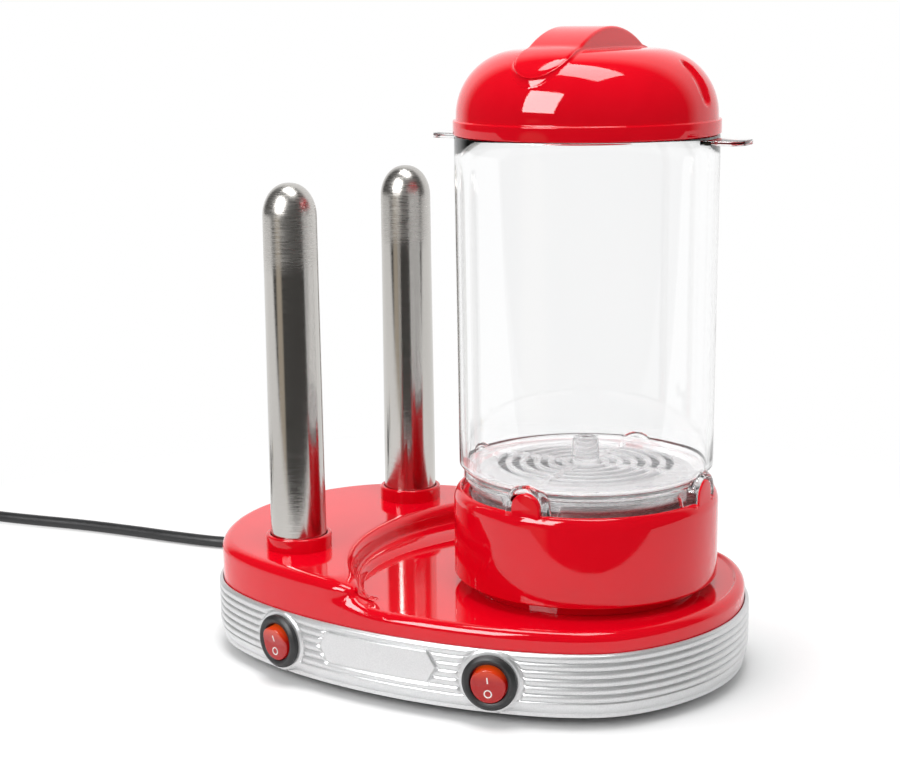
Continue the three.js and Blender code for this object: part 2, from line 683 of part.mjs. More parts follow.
// Flat two-pin plug lying on the table; its cable boot faces the coil.
function plugBody() {
  const boot = lathe([[0, 0], [4.2, 0], [5.2, 12], [0, 12]], 12).rotateX(Math.PI / 2);
  const outline = new THREE.Shape();
  outline.moveTo(-7, 0);
  outline.lineTo(7, 0);
  outline.lineTo(13, 9);
  outline.lineTo(13, 24);
  outline.lineTo(-13, 24);
  outline.lineTo(-13, 9);
  const bevel = { depth: 10, bevelThickness: 2, bevelSize: 2, bevelOffset: -2, bevelSegments: 1 };
  const shell = new THREE.ExtrudeGeometry(outline, bevel).rotateX(Math.PI).translate(0, 0, 5);
  const body = solid(boot).add(solid(shell.translate(0, -9.5, 0)));
  return toGeometry(body).translate(PLUG_X, PLUG_Y - GAP, PLUG_Z);
}

function plugPin(side) {
  const x = PLUG_X + side * PIN_X;
  const profile = [[0, 0], [2, 0], [2, 17.5], [1, 19], [0, 19]];
  return lathe(profile, 10).rotateX(Math.PI / 2).translate(x, PLUG_Y - 33.5 - 2 * GAP, PLUG_Z);
}

// Insulated leads inside the base, lying on the bottom plate.
function leads() {
  const z = PLATE_TOP + 2.6;
  const routes = {
    lead_left_switch: [[-47, -62, 18], [-47, -54, 12], [-44, -36, z], [-38, 0, z], [-38, 27, 10]],
    lead_right_switch: [[46, -62, 18], [42, -54, 12], [26, -30, z], [-10, 6, z], [-20, 27, 10]],
    lead_pan_heater: [[JAR_X + 30, -6, 34], [JAR_X + 27, -8, 22], [62, 4, z + 3], [24, 24, z], [-11, 36, 10]],
    lead_bun_spikes: [[SPIKE_X, SPIKE_Y, 36], [SPIKE_X, SPIKE_Y - 2, 24], [-62, 44, z + 2], [-47, 38, 10]],
    lead_spike_link: [
      [SPIKE_X, -SPIKE_Y, 36], [SPIKE_X - 2, -38, 22], [SPIKE_X - 4, 0, z + 6], [SPIKE_X - 5, 34, 22],
      [SPIKE_X - 5, 44, 36],
    ],
  };
  for (const [name, route] of Object.entries(routes)) {
    add(name, tube(route, 1.4, 6, 10), WIRE);
  }
}

add('base_skirt', toGeometry(skirt()), SILVER);
add('bottom_plate', toGeometry(bottomPlate()), BLACK);
footPlaces().forEach(([x, y], i) => {
  add(['foot_front_left', 'foot_front_right', 'foot_rear_left', 'foot_rear_right'][i], foot(x, y), RUBBER);
});
screwPlaces().forEach(([x, y], i) => add(`base_screw_${i + 1}`, screw(x, y), STEEL));
add('top_cover', toGeometry(topCover()), RED);
add('steam_drum', toGeometry(steamDrum()), RED);
add('water_pan', waterPan(), ALUMINIUM);
add('pan_heater', panHeater(), STEEL);
add('thermostat', thermostat(), CERAMIC);
add('thermal_fuse', thermalFuse(), STEEL);
add('jar', toGeometry(jar()), CLEAR);
add('steam_grate', toGeometry(steamGrate()), CLEAR);
add('lid', toGeometry(lid()), RED);
for (const [place, y] of [['front', -SPIKE_Y], ['rear', SPIKE_Y]]) {
  add(`collar_${place}`, collar(y), RED);
  add(`spike_${place}`, spike(y), STEEL);
  add(`spike_heater_${place}`, spikeHeater(y), STEEL);
  add(`heater_holder_${place}`, heaterHolder(y), CERAMIC);
}
for (const [place, side] of [['left', -1], ['right', 1]]) {
  add(`switch_bezel_${place}`, switchBezel(side), BLACK);
  add(`rocker_${place}`, rocker(side), LENS);
}
add('label_plate', toGeometry(labelPlate()), LABEL);
add('terminal_block', toGeometry(terminalBlock()), CERAMIC);
add('cord_clamp', toGeometry(cordClamp()), BLACK);
leads();
add('strain_relief', strainRelief(), RUBBER);
add('power_cord', tube(CORD_ROUTE, CORD_R, 8, 34), RUBBER);
add('cord_coil', coil(), RUBBER);
add('cord_tail', tube(CORD_TAIL, CORD_R, 8, 7), RUBBER);
add('plug_body', plugBody(), BLACK);
for (const [place, side] of [['left', -1], ['right', 1]]) {
  add(`plug_pin_${place}`, plugPin(side), BRASS);
}

export default parts;
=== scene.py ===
import json
import math

import bmesh
import bpy
import numpy as np
from mathutils import Matrix, Vector


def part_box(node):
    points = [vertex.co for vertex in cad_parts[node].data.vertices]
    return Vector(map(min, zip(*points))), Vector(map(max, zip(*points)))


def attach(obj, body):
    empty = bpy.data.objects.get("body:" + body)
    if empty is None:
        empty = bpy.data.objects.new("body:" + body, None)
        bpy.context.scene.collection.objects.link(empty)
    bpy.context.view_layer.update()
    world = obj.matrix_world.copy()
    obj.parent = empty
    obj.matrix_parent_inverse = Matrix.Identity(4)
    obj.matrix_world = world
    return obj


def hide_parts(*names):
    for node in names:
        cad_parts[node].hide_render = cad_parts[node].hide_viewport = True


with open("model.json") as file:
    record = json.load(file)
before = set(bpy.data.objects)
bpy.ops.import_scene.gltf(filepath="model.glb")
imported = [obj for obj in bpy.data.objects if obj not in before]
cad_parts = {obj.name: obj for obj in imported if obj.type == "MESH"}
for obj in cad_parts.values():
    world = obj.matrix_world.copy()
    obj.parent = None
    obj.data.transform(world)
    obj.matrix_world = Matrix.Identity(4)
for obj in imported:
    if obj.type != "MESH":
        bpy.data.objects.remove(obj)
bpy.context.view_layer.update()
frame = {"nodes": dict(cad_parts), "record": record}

MM = 0.001


def box_mm(node):
    low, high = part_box(node)
    return np.array(low) / MM, np.array(high) / MM


# ---------------------------------------------------------------- sizes, from the frame
cover_low, cover_high = box_mm("top_cover")
drum_low, drum_high = box_mm("steam_drum")
jar_low, jar_high = box_mm("jar")
lid_low, lid_high = box_mm("lid")
relief_low, relief_high = box_mm("strain_relief")
coil_low, coil_high = box_mm("cord_coil")
label_low, label_high = box_mm("label_plate")

# the base's outline and the levels of its red cover
SQUARENESS = 3.1
END_FULLNESS = 0.92
BASE_X = (cover_low[0] + cover_high[0]) / 2
HALF_LENGTH = (cover_high[0] - cover_low[0]) / 2 + SQUARENESS - END_FULLNESS
HALF_DEPTH = (cover_high[1] - cover_low[1]) / 2 + SQUARENESS + END_FULLNESS
PLATEAU = cover_high[2]
RIM = PLATEAU - 9.8
TRAY = RIM - 1.1
LEDGE = RIM - 8.6
WALL_FOOT = cover_low[2] + 1
SKIRT_PROUD = 1.9

# the steam drum, the jar on it, and the lid
JAR_X = (drum_low[0] + drum_high[0]) / 2
DRUM_R = (drum_high[0] - drum_low[0]) / 2
DRUM_FOOT = TRAY + 5.2
DRUM_TOP = 82.3
SEAT = 80.0
TAB_TOP = drum_high[2]
TAB_HALF = 6.4
JAR_FOOT = jar_low[2]
JAR_TOP = jar_high[2]
GRATE_TOP = 92.6
KNOB_TOP = box_mm("steam_grate")[1][2]
LID_FOOT = JAR_TOP + 0.3
BAND_TOP = LID_FOOT + 5.9
BAND_R = 55.8
LID_TOP = lid_high[2]
DOME_TOP = LID_TOP - 9.2
CORNER = 27.0

# the switches, each on a round pad of the skirt
SWITCH_TURN = math.radians(12.8)
SWITCH_Z = 18.6
PAD_PROUD = 1.9
PAD_R = 13.4


# ---------------------------------------------------------------- mesh helpers
def grid(rows, columns, wrap_rows=False, wrap_columns=True):
    """Quads of a grid of vertices numbered row by row."""
    r = np.arange(rows if wrap_rows else rows - 1)
    c = np.arange(columns if wrap_columns else columns - 1)
    r, c = np.meshgrid(r, c, indexing="ij")
    r2, c2 = (r + 1) % rows, (c + 1) % columns
    quads = np.stack([r * columns + c, r * columns + c2, r2 * columns + c2, r2 * columns + c], -1)
    return quads.reshape(-1, 4)


def spots(x, y, z):
    """Points from coordinates that are numbers or arrays."""
    return np.stack(np.broadcast_arrays(x, y, z), -1)


def add_object(name, data):
    piece = bpy.data.objects.new(name, data)
    bpy.context.scene.collection.objects.link(piece)
    return piece


def mesh_object(name, points, faces, sharp=40):
    """A smooth shaded mesh from points in millimetres; coincident points are joined."""
    mesh = bpy.data.meshes.new(name)
    faces = faces if isinstance(faces, list) else faces.tolist()
    mesh.from_pydata((np.asarray(points, float) * MM).tolist(), [], faces)
    work = bmesh.new()
    work.from_mesh(mesh)
    bmesh.ops.remove_doubles(work, verts=work.verts, dist=2e-7)
    bmesh.ops.recalc_face_normals(work, faces=work.faces)
    work.to_mesh(mesh)
    work.free()
    piece = add_object(name, mesh)
    shade(piece, sharp)
    return piece


def shade(piece, sharp=40):
    mesh = piece.data
    mesh.polygons.foreach_set("use_smooth", [True] * len(mesh.polygons))
    mesh.set_sharp_from_angle(angle=math.radians(sharp))


def apply_modifiers(piece):
    graph = bpy.context.evaluated_depsgraph_get()
    mesh = bpy.data.meshes.new_from_object(piece.evaluated_get(graph))
    piece.modifiers.clear()
    piece.data = mesh


def combine(piece, other, operation, sharp=40):
    """Boolean of two closed meshes, which takes other away or adds it to piece."""
    modifier = piece.modifiers.new("combine", "BOOLEAN")
    modifier.operation = operation
    modifier.solver = "EXACT"
    modifier.object = other
    bpy.context.view_layer.update()
    apply_modifiers(piece)
    bpy.data.objects.remove(other)
    shade(piece, sharp)


def bevel(piece, width, segments=3, angle=30):
    modifier = piece.modifiers.new("bevel", "BEVEL")
    modifier.width = width * MM
    modifier.segments = segments
    modifier.limit_method = "ANGLE"
    modifier.angle_limit = math.radians(angle)
    bpy.context.view_layer.update()
    apply_modifiers(piece)
    shade(piece)


def move_points(piece, moved):
    """Moves a mesh's points by a function of an array of points in millimetres."""
    points = np.empty(len(piece.data.vertices) * 3)
    piece.data.vertices.foreach_get("co", points)
    piece.data.vertices.foreach_set("co", (moved(points.reshape(-1, 3) / MM) * MM).ravel())
    piece.data.update()


def prism(name, outline, low, high, sideways=False):
    """Straight body from low to high: along z over an x, y outline, or sideways along x over a y, z one."""
    count = len(outline)
    points = [(u, v, reach) for reach in (low, high) for u, v in outline]
    if sideways:
        points = [(reach, u, v) for u, v, reach in points]
    faces = [list(range(count)), list(range(count, 2 * count))]
    faces += [[i, (i + 1) % count, count + (i + 1) % count, count + i] for i in range(count)]
    return mesh_object(name, points, faces)


def rounded(corners, closed=True, steps=5):
    """Outline through [x, y, radius] corners, each rounded by its radius."""
    points = []
    count = len(corners)
    for i, (x, y, radius) in enumerate(corners):
        corner = np.array((x, y), float)
        if radius == 0 or (not closed and i in (0, count - 1)):
            points.append(corner)
            continue
        back = np.array(corners[i - 1][:2], float) - corner
        ahead = np.array(corners[(i + 1) % count][:2], float) - corner
        back /= np.linalg.norm(back)
        ahead /= np.linalg.norm(ahead)
        half = math.acos(np.clip(back @ ahead, -1, 1)) / 2
        middle = (back + ahead) / np.linalg.norm(back + ahead)
        centre = corner + middle * radius / math.sin(half)
        first = corner + back * radius / math.tan(half) - centre
        last = corner + ahead * radius / math.tan(half) - centre
        start = math.atan2(first[1], first[0])
        turn = (math.atan2(last[1], last[0]) - start + math.pi) % (2 * math.pi) - math.pi
        for k in range(steps + 1):
            angle = start + turn * k / steps
            points.append(centre + radius * np.array((math.cos(angle), math.sin(angle))))
    return np.array(points)


def arc(centre, reach, first, last, count):
    """[x, y] points along an ellipse between two angles in degrees."""
    angles = np.radians(np.linspace(first, last, count))
    return [[centre[0] + reach[0] * math.cos(a), centre[1] + reach[1] * math.sin(a)] for a in angles]


def revolve(profile, steps=96, centre=(0, 0)):
    """Points and faces of a turned shape from [radius, height] points about an upright axis."""
    profile = np.asarray(profile, float)
    angle = 2 * math.pi * np.arange(steps) / steps
    x = centre[0] + profile[:, :1] * np.cos(angle)
    y = centre[1] + profile[:, :1] * np.sin(angle)
    closes = profile[0, 0] > 1e-6 and profile[-1, 0] > 1e-6
    return spots(x, y, profile[:, 1:2]).reshape(-1, 3), grid(len(profile), steps, closes, True)


def backwards(x, y, z):
    """Frame of a turned shape whose axis points to the back, along +Y."""
    return Matrix.Translation((x, y, z)) @ Matrix.Rotation(-math.pi / 2, 4, "X")


def transformed(points, matrix):
    matrix = np.array(matrix)
    return points @ matrix[:3, :3].T + matrix[:3, 3]


def turned(name, profile, steps=96, centre=(0, 0), matrix=None, sharp=40):
    points, faces = revolve(profile, steps, centre)
    if matrix is not None:
        points = transformed(points, matrix)
    return mesh_object(name, points, faces, sharp)


def smoothstep(value, low, high):
    t = np.clip((value - low) / (high - low), 0, 1)
    return t * t * (3 - 2 * t)


def smooth_min(a, b, k):
    h = np.maximum(k - np.abs(a - b), 0) / k
    return np.minimum(a, b) - h * h * k / 4


def smooth_max(a, b, k):
    return -smooth_min(-a, -b, k)


def round_edge(distance, radius):
    """Height of a rounded edge, from 0 at its foot to radius where distance reaches it."""
    short = radius - np.clip(distance, 0, radius)
    return np.sqrt(np.maximum(radius ** 2 - short ** 2, 0))


# ---------------------------------------------------------------- the base outline
def support(angle):
    root = np.hypot(HALF_LENGTH * np.cos(angle), HALF_DEPTH * np.sin(angle))
    return root + END_FULLNESS * np.cos(6 * angle) - SQUARENESS * np.cos(4 * angle)


def oval(angle, offset=0.0):
    """Outline points whose outward normal has the given angle, moved out by offset."""
    angle = np.asarray(angle, float)
    c, s = np.cos(angle), np.sin(angle)
    root = np.hypot(HALF_LENGTH * c, HALF_DEPTH * s)
    turn = (HALF_DEPTH ** 2 - HALF_LENGTH ** 2) * s * c / root
    turn = turn + 4 * SQUARENESS * np.sin(4 * angle) - 6 * END_FULLNESS * np.sin(6 * angle)
    reach = support(angle) + offset
    return BASE_X + reach * c - turn * s, reach * s + turn * c


NORMALS = np.radians(np.arange(0, 360, 0.5))


def inset(x, y):
    """How far points are inside the base outline."""
    flat_x, flat_y = np.ravel(x) - BASE_X, np.ravel(y)
    result = np.empty(flat_x.size)
    reach = support(NORMALS)[:, None]
    c, s = np.cos(NORMALS)[:, None], np.sin(NORMALS)[:, None]
    for start in range(0, flat_x.size, 20000):
        part = slice(start, start + 20000)
        result[part] = (reach - c * flat_x[part] - s * flat_y[part]).min(0)
    return result.reshape(np.shape(x))


def along_skirt(angle):
    """Distance along the skirt's outside from the middle of its front, at rising normal angles."""
    x, y = oval(angle, SKIRT_PROUD)
    along = np.concatenate([[0], np.cumsum(np.hypot(np.diff(x), np.diff(y)))])
    return along - np.interp(-math.pi / 2, angle, along)


def spread(count, fine, weight, step=1.0):
    """Stations out of fine values, closer together where the weight is larger."""
    total = np.concatenate([[0], np.cumsum(step * (weight[1:] + weight[:-1]) / 2)])
    return np.interp(np.arange(count) / count * total[-1], total, fine)


# ---------------------------------------------------------------- materials
def add_node(tree, kind, **sockets):
    node = tree.nodes.new("ShaderNode" + kind)
    for socket, value in sockets.items():
        node.inputs[socket.replace("_", " ")].default_value = value
    return node


def new_material(name, **sockets):
    material = bpy.data.materials.new(name)
    material.use_nodes = True
    tree = material.node_tree
    tree.nodes.clear()
    output = add_node(tree, "OutputMaterial")
    shader = add_node(tree, "BsdfPrincipled", **sockets)
    tree.links.new(shader.outputs["BSDF"], output.inputs["Surface"])
    return material, tree, shader


def noise(tree, scale, detail=3.0, stretch=(1, 1, 1)):
    """Noise over the object's own coordinates; scale is in cells per metre."""
    mapping = add_node(tree, "Mapping", Scale=stretch)
    texture = add_node(tree, "TexNoise", Scale=scale, Detail=detail)
    tree.links.new(add_node(tree, "TexCoord").outputs["Object"], mapping.inputs["Vector"])
    tree.links.new(mapping.outputs["Vector"], texture.inputs["Vector"])
    return texture.outputs["Fac"]


def remap(tree, value, low, high, from_low=0.3, from_high=0.7):
    node = add_node(tree, "MapRange", From_Min=from_low, From_Max=from_high, To_Min=low, To_Max=high)
    tree.links.new(value, node.inputs["Value"])
    return node.outputs["Result"]


def mix(tree, factor, first, second):
    node = add_node(tree, "Mix")
    node.data_type = "RGBA"
    tree.links.new(factor, node.inputs["Factor"])
    for socket, value in ((node.inputs[6], first), (node.inputs[7], second)):
        if isinstance(value, tuple):
            socket.default_value = (*value, 1)
        else:
            tree.links.new(value, socket)
    return node.outputs[2]


def bump(tree, shader, height, distance):
    node = add_node(tree, "Bump", Distance=distance, Strength=1.0)
    tree.links.new(height, node.inputs["Height"])
    tree.links.new(node.outputs["Normal"], shader.inputs["Normal"])


def ramp_up(tree, low, high):
    """0 below the height low and 1 above high, in metres."""
    split = add_node(tree, "SeparateXYZ")
    tree.links.new(add_node(tree, "TexCoord").outputs["Object"], split.inputs["Vector"])
    return remap(tree, split.outputs["Z"], 0, 1, low, high)


def blend_over(tree, shader, factor, other):
    """Puts a mix of the material's shader and another one on its output."""
    blend = add_node(tree, "MixShader")
    output = next(node for node in tree.nodes if node.type == "OUTPUT_MATERIAL")
    tree.links.new(factor, blend.inputs["Fac"])
    tree.links.new(shader.outputs["BSDF"], blend.inputs[1])
    tree.links.new(other, blend.inputs[2])
    tree.links.new(blend.outputs["Shader"], output.inputs["Surface"])


def plastic(name, dark, light, rough, grain, depth, grain_detail=2.0, patch=30):
    """Moulded plastic: slightly uneven colour and gloss, with the grain of its mould."""
    material, tree, shader = new_material(name)
    tree.links.new(mix(tree, noise(tree, patch), dark, light), shader.inputs["Base Color"])
    tree.links.new(remap(tree, noise(tree, patch * 4), *rough), shader.inputs["Roughness"])
    bump(tree, shader, noise(tree, grain, grain_detail), depth)
    return material


def silver():
    material, tree, shader = new_material("silver", Metallic=0.58)
    flakes = noise(tree, 1800, 2.0)
    tree.links.new(mix(tree, remap(tree, flakes, 0, 1), (0.60, 0.605, 0.61), (0.67, 0.675, 0.68)),
                   shader.inputs["Base Color"])
    tree.links.new(remap(tree, noise(tree, 60), 0.31, 0.35), shader.inputs["Roughness"])
    return material


def clear_plastic():
    material, tree, shader = new_material("clear_plastic", IOR=1.49, Transmission_Weight=1.0)
    tree.links.new(mix(tree, noise(tree, 25), (0.985, 0.988, 0.99), (1.0, 1.0, 1.0)),
                   shader.inputs["Base Color"])
    tree.links.new(remap(tree, noise(tree, 80), 0.0, 0.03), shader.inputs["Roughness"])
    bump(tree, shader, noise(tree, 40, 1.0), 0.00003)
    # lamps shine through it
    path = add_node(tree, "LightPath")
    through = add_node(tree, "BsdfTransparent", Color=(0.94, 0.94, 0.94, 1))
    blend_over(tree, shader, path.outputs["Is Shadow Ray"], through.outputs["BSDF"])
    return material


def thin_clear():
    """Thin moulded clear plastic that looks whitish where light crosses its ribs."""
    material, tree, shader = new_material("thin_clear", IOR=1.49, Alpha=0.34)
    tree.links.new(mix(tree, noise(tree, 60), (0.86, 0.87, 0.88), (0.97, 0.97, 0.98)),
                   shader.inputs["Base Color"])
    tree.links.new(remap(tree, noise(tree, 200), 0.04, 0.12), shader.inputs["Roughness"])
    bump(tree, shader, noise(tree, 160, 1.0), 0.00005)
    return material


def metal(name, dark, light, rough, lines, depth, stretch, metallic=1.0):
    """Metal with fine marks drawn out across the stretch's large numbers."""
    material, tree, shader = new_material(name, Metallic=metallic)
    marks = noise(tree, lines, 3.0, stretch)
    tree.links.new(mix(tree, noise(tree, 18), dark, light), shader.inputs["Base Color"])
    tree.links.new(remap(tree, marks, *rough), shader.inputs["Roughness"])
    bump(tree, shader, marks, depth)
    return material


def spike_steel():
    """Polished tube with fine marks round it, duller above where its tip was drawn."""
    material, tree, shader = new_material("spike_steel", Metallic=1.0)
    marks = noise(tree, 900, 4.0, (0.2, 0.2, 5))
    tree.links.new(mix(tree, noise(tree, 18, 3.0, (3, 3, 0.4)), (0.47, 0.455, 0.43), (0.62, 0.60, 0.575)),
                   shader.inputs["Base Color"])
    rough = add_node(tree, "Mix")
    tree.links.new(ramp_up(tree, 0.172, 0.180), rough.inputs["Factor"])
    tree.links.new(remap(tree, marks, 0.08, 0.2), rough.inputs[2])
    tree.links.new(remap(tree, marks, 0.2, 0.36), rough.inputs[3])
    tree.links.new(rough.outputs[0], shader.inputs["Roughness"])
    bump(tree, shader, marks, 0.000012)
    return material


def red_lens():
    """Translucent red of the rockers, with painted light: an emitted glow all over them, stronger, lighter
    and orange in their upper half.
    """
    material, tree, shader = new_material(
        "red_lens", Transmission_Weight=0.3, IOR=1.5, Emission_Strength=0.3)
    # painted glow: emission and a lighter base colour in the upper half stand in for light shining through
    # the rocker
    painted_glow = ramp_up(tree, (SWITCH_Z + 1.5) * MM, (SWITCH_Z + 8.5) * MM)
    tree.links.new(mix(tree, painted_glow, (0.34, 0.002, 0.003), (0.55, 0.02, 0.004)), shader.inputs["Base Color"])
    tree.links.new(mix(tree, painted_glow, (0.35, 0.006, 0.004), (1.0, 0.16, 0.01)), shader.inputs["Emission Color"])
    tree.links.new(remap(tree, noise(tree, 300), 0.08, 0.16), shader.inputs["Roughness"])
    bump(tree, shader, noise(tree, 500, 1.0), 0.00003)
    return material


def cable_rubber(name, colour, rough):
    light = tuple(c * 1.7 + 0.002 for c in colour)
    return plastic(name, colour, light, rough, 1800, 0.00006, 3.0, 90)


MATERIALS = {
    "red_plastic": plastic("red_plastic", (0.66, 0.0006, 0.008), (0.74, 0.0012, 0.012),
                           (0.035, 0.075), 45, 0.00002),
    "silver": silver(),
    "clear_plastic": clear_plastic(),
    "thin_clear": thin_clear(),
    "polished_steel": spike_steel(),
    "aluminium": metal("aluminium", (0.46, 0.465, 0.47), (0.60, 0.605, 0.61), (0.16, 0.34),
                       700, 0.00002, (0.25, 0.25, 5), 0.6),
    "steel": metal("steel", (0.42, 0.42, 0.42), (0.58, 0.57, 0.56), (0.25, 0.45), 500, 0.00003, (1, 1, 1)),
    "brass": metal("brass", (0.55, 0.39, 0.14), (0.70, 0.52, 0.22), (0.18, 0.35), 600, 0.00002, (1, 1, 4)),
    "black_plastic": plastic("black_plastic", (0.010, 0.010, 0.011), (0.020, 0.020, 0.021),
                             (0.32, 0.48), 2400, 0.00009),
    "gloss_black": plastic("gloss_black", (0.008, 0.008, 0.009), (0.014, 0.014, 0.015),
                           (0.10, 0.2), 200, 0.00003),
    "red_lens": red_lens(),
    "label": plastic("label", (0.66, 0.665, 0.67), (0.72, 0.725, 0.73), (0.28, 0.36), 1500, 0.00002),
    "ceramic": plastic("ceramic", (0.66, 0.62, 0.54), (0.78, 0.74, 0.66), (0.5, 0.7), 900, 0.0001),
    "rubber": cable_rubber("rubber", (0.012, 0.012, 0.012), (0.55, 0.75)),
    "cord": cable_rubber("cord", (0.010, 0.010, 0.011), (0.35, 0.5)),
    "wire": plastic("wire", (0.36, 0.34, 0.30), (0.48, 0.46, 0.41), (0.6, 0.8), 3000, 0.0001),
    "mark_white": plastic("mark_white", (0.78, 0.76, 0.74), (0.9, 0.88, 0.86), (0.3, 0.4), 900, 0.00001),
}


def place(piece, body, slot, *nodes, look=None):
    """Gives a piece its body and the material of its look, or else of its slot, and hides the CAD nodes it
    stands for.
    """
    piece.data.materials.clear()
    piece.data.materials.append(MATERIALS[look or slot])
    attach(piece, body)
    if nodes:
        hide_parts(*nodes)
    return piece


def finish_cad_nodes():
    """Every node kept from the frame gets the material of its own slot."""
    for entry in frame["record"]["subparts"]:
        piece = frame["nodes"][entry["node"]]
        piece.data.materials.clear()
        piece.data.materials.append(MATERIALS[entry["material_slot"]])


# ---------------------------------------------------------------- camera
YAW, PITCH, ROLL = (math.radians(angle) for angle in (30.663, 11.666, -0.705))
CAMERA_AT = (0.39503, -0.69101, 0.28629)


def make_camera():
    data = bpy.data.cameras.new("camera")
    data.sensor_width = 36
    data.lens = 73.31
    data.clip_start = 0.01
    data.clip_end = 50
    camera = add_object("camera", data)
    ahead = Vector((-math.sin(YAW) * math.cos(PITCH), math.cos(YAW) * math.cos(PITCH), -math.sin(PITCH)))
    level = Vector((math.cos(YAW), math.sin(YAW), 0))
    upright = level.cross(ahead)
    right = level * math.cos(ROLL) + upright * math.sin(ROLL)
    up = upright * math.cos(ROLL) - level * math.sin(ROLL)
    turn = Matrix((right, up, -ahead)).transposed().to_4x4()
    camera.matrix_world = Matrix.Translation(CAMERA_AT) @ turn
    bpy.context.scene.camera = camera


# ---------------------------------------------------------------- cord
CORD_R = 3.0
CORD_Z = 3.2
EXIT_X = (relief_low[0] + relief_high[0]) / 2
EXIT_Z = (relief_low[2] + relief_high[2]) / 2
COIL_X = (coil_low[0] + coil_high[0]) / 2
COIL_Y = (coil_low[1] + coil_high[1]) / 2
COIL_R = 38.0
COIL_PITCH = 6.2
PLUG_X = COIL_X - COIL_R
PLUG_Y = COIL_Y - 84
PLUG_Z = 7.2


def cord_points():
    """The cord's route: out of the base, down to the table, two coiled layers, then to the plug."""
    points = [
        (EXIT_X, 76, EXIT_Z), (EXIT_X, 94, EXIT_Z), (EXIT_X, 111, EXIT_Z),
        (EXIT_X - 2, 124, 12.6), (EXIT_X - 9, 135, 8.6), (EXIT_X - 21, 142, 4.8),
    ]
    on_table = [
        (EXIT_X - 37, 143), (-86, 135), (-105, 122), (-126, 105), (-148, 89), (-172, 75.5), (-197, 67),
        (-225, 62.8), (-254, 60.4), (-286, 56.8), (-320, 50.8), (-342, 47.4), (COIL_X + 23, COIL_Y + COIL_R)]
    points += [(x, y, CORD_Z) for x, y in on_table]
    per_turn = 20
    turns = 4.25
    for i in range(int(per_turn * turns) + 1):
        turn = i / per_turn
        if turn <= 2:
            radius, z = COIL_R - COIL_PITCH * turn, CORD_Z
        elif turn <= 2.25:
            radius, z = COIL_R - 2 * COIL_PITCH, CORD_Z + COIL_PITCH * 4 * (turn - 2)
        else:
            radius, z = COIL_R - COIL_PITCH * (turns - turn), CORD_Z + COIL_PITCH
        angle = math.pi / 2 + 2 * math.pi * turn
        points.append((COIL_X + radius * math.cos(angle), COIL_Y + radius * math.sin(angle), z))
    points += [
        (PLUG_X, COIL_Y - 12, CORD_Z + COIL_PITCH), (PLUG_X, COIL_Y - 24, 8.4), (PLUG_X, COIL_Y - 36, 5.8),
        (PLUG_X, COIL_Y - 48, 4.2), (PLUG_X, COIL_Y - 62, 5.6), (PLUG_X, PLUG_Y + 8, PLUG_Z),
        (PLUG_X, PLUG_Y - 2, PLUG_Z),
    ]
    return points


def make_cord():
    curve = bpy.data.curves.new("mains_cord", "CURVE")
    curve.dimensions = "3D"
    curve.resolution_u = 6
    curve.bevel_depth = CORD_R * MM
    curve.bevel_resolution = 5
    curve.use_fill_caps = True
    spline = curve.splines.new("BEZIER")
    points = cord_points()
    spline.bezier_points.add(len(points) - 1)
    for knot, point in zip(spline.bezier_points, points):
        knot.co = Vector(point) * MM
        knot.handle_left_type = knot.handle_right_type = "AUTO"
    return place(add_object("mains_cord", curve), "base", "cord", "power_cord", "cord_coil", "cord_tail")


def make_relief():
    """Tapered sleeve of the cord at the back, with rings that let it bend."""
    wall = relief_low[1] + 8
    outer = [[6.2, -8, 0.4], [6.2, -4, 0.4], [5.0, -4, 0], [5.0, 3.2, 0], [6.6, 3.2, 0.5], [6.5, 6.2, 0.5]]
    rings = 7
    for i in range(rings):
        start = 7.0 + i * 2.6
        radius = 5.5 - 1.2 * i / rings
        outer += [[radius - 1.0, start, 0.2], [radius, start + 0.5, 0.25], [radius - 0.1, start + 2.0, 0.25],
                  [radius - 1.1, start + 2.5, 0.2]]
    tip = relief_high[1] - wall
    outer += [[4.1, tip - 0.1, 0.3], [3.15, tip - 0.1, 0], [3.15, -8, 0]]
    matrix = backwards(EXIT_X, wall, EXIT_Z)
    piece = turned("strain_relief_sleeve", rounded(outer, steps=3), 48, matrix=matrix)
    return place(piece, "base", "rubber", "strain_relief")


def loft(name, sections, steps=40):
    """Closed body along Y through [y, half width, half height, squareness] sections."""
    angle = 2 * math.pi * np.arange(steps) / steps
    c, s = np.cos(angle), np.sin(angle)
    rows = []
    for y, half_width, half_height, power in sections:
        x = half_width * np.sign(c) * np.abs(c) ** (2 / power)
        z = half_height * np.sign(s) * np.abs(s) ** (2 / power)
        rows.append(spots(x, y, z))
    return mesh_object(name, np.concatenate(rows), grid(len(sections), steps), 50)


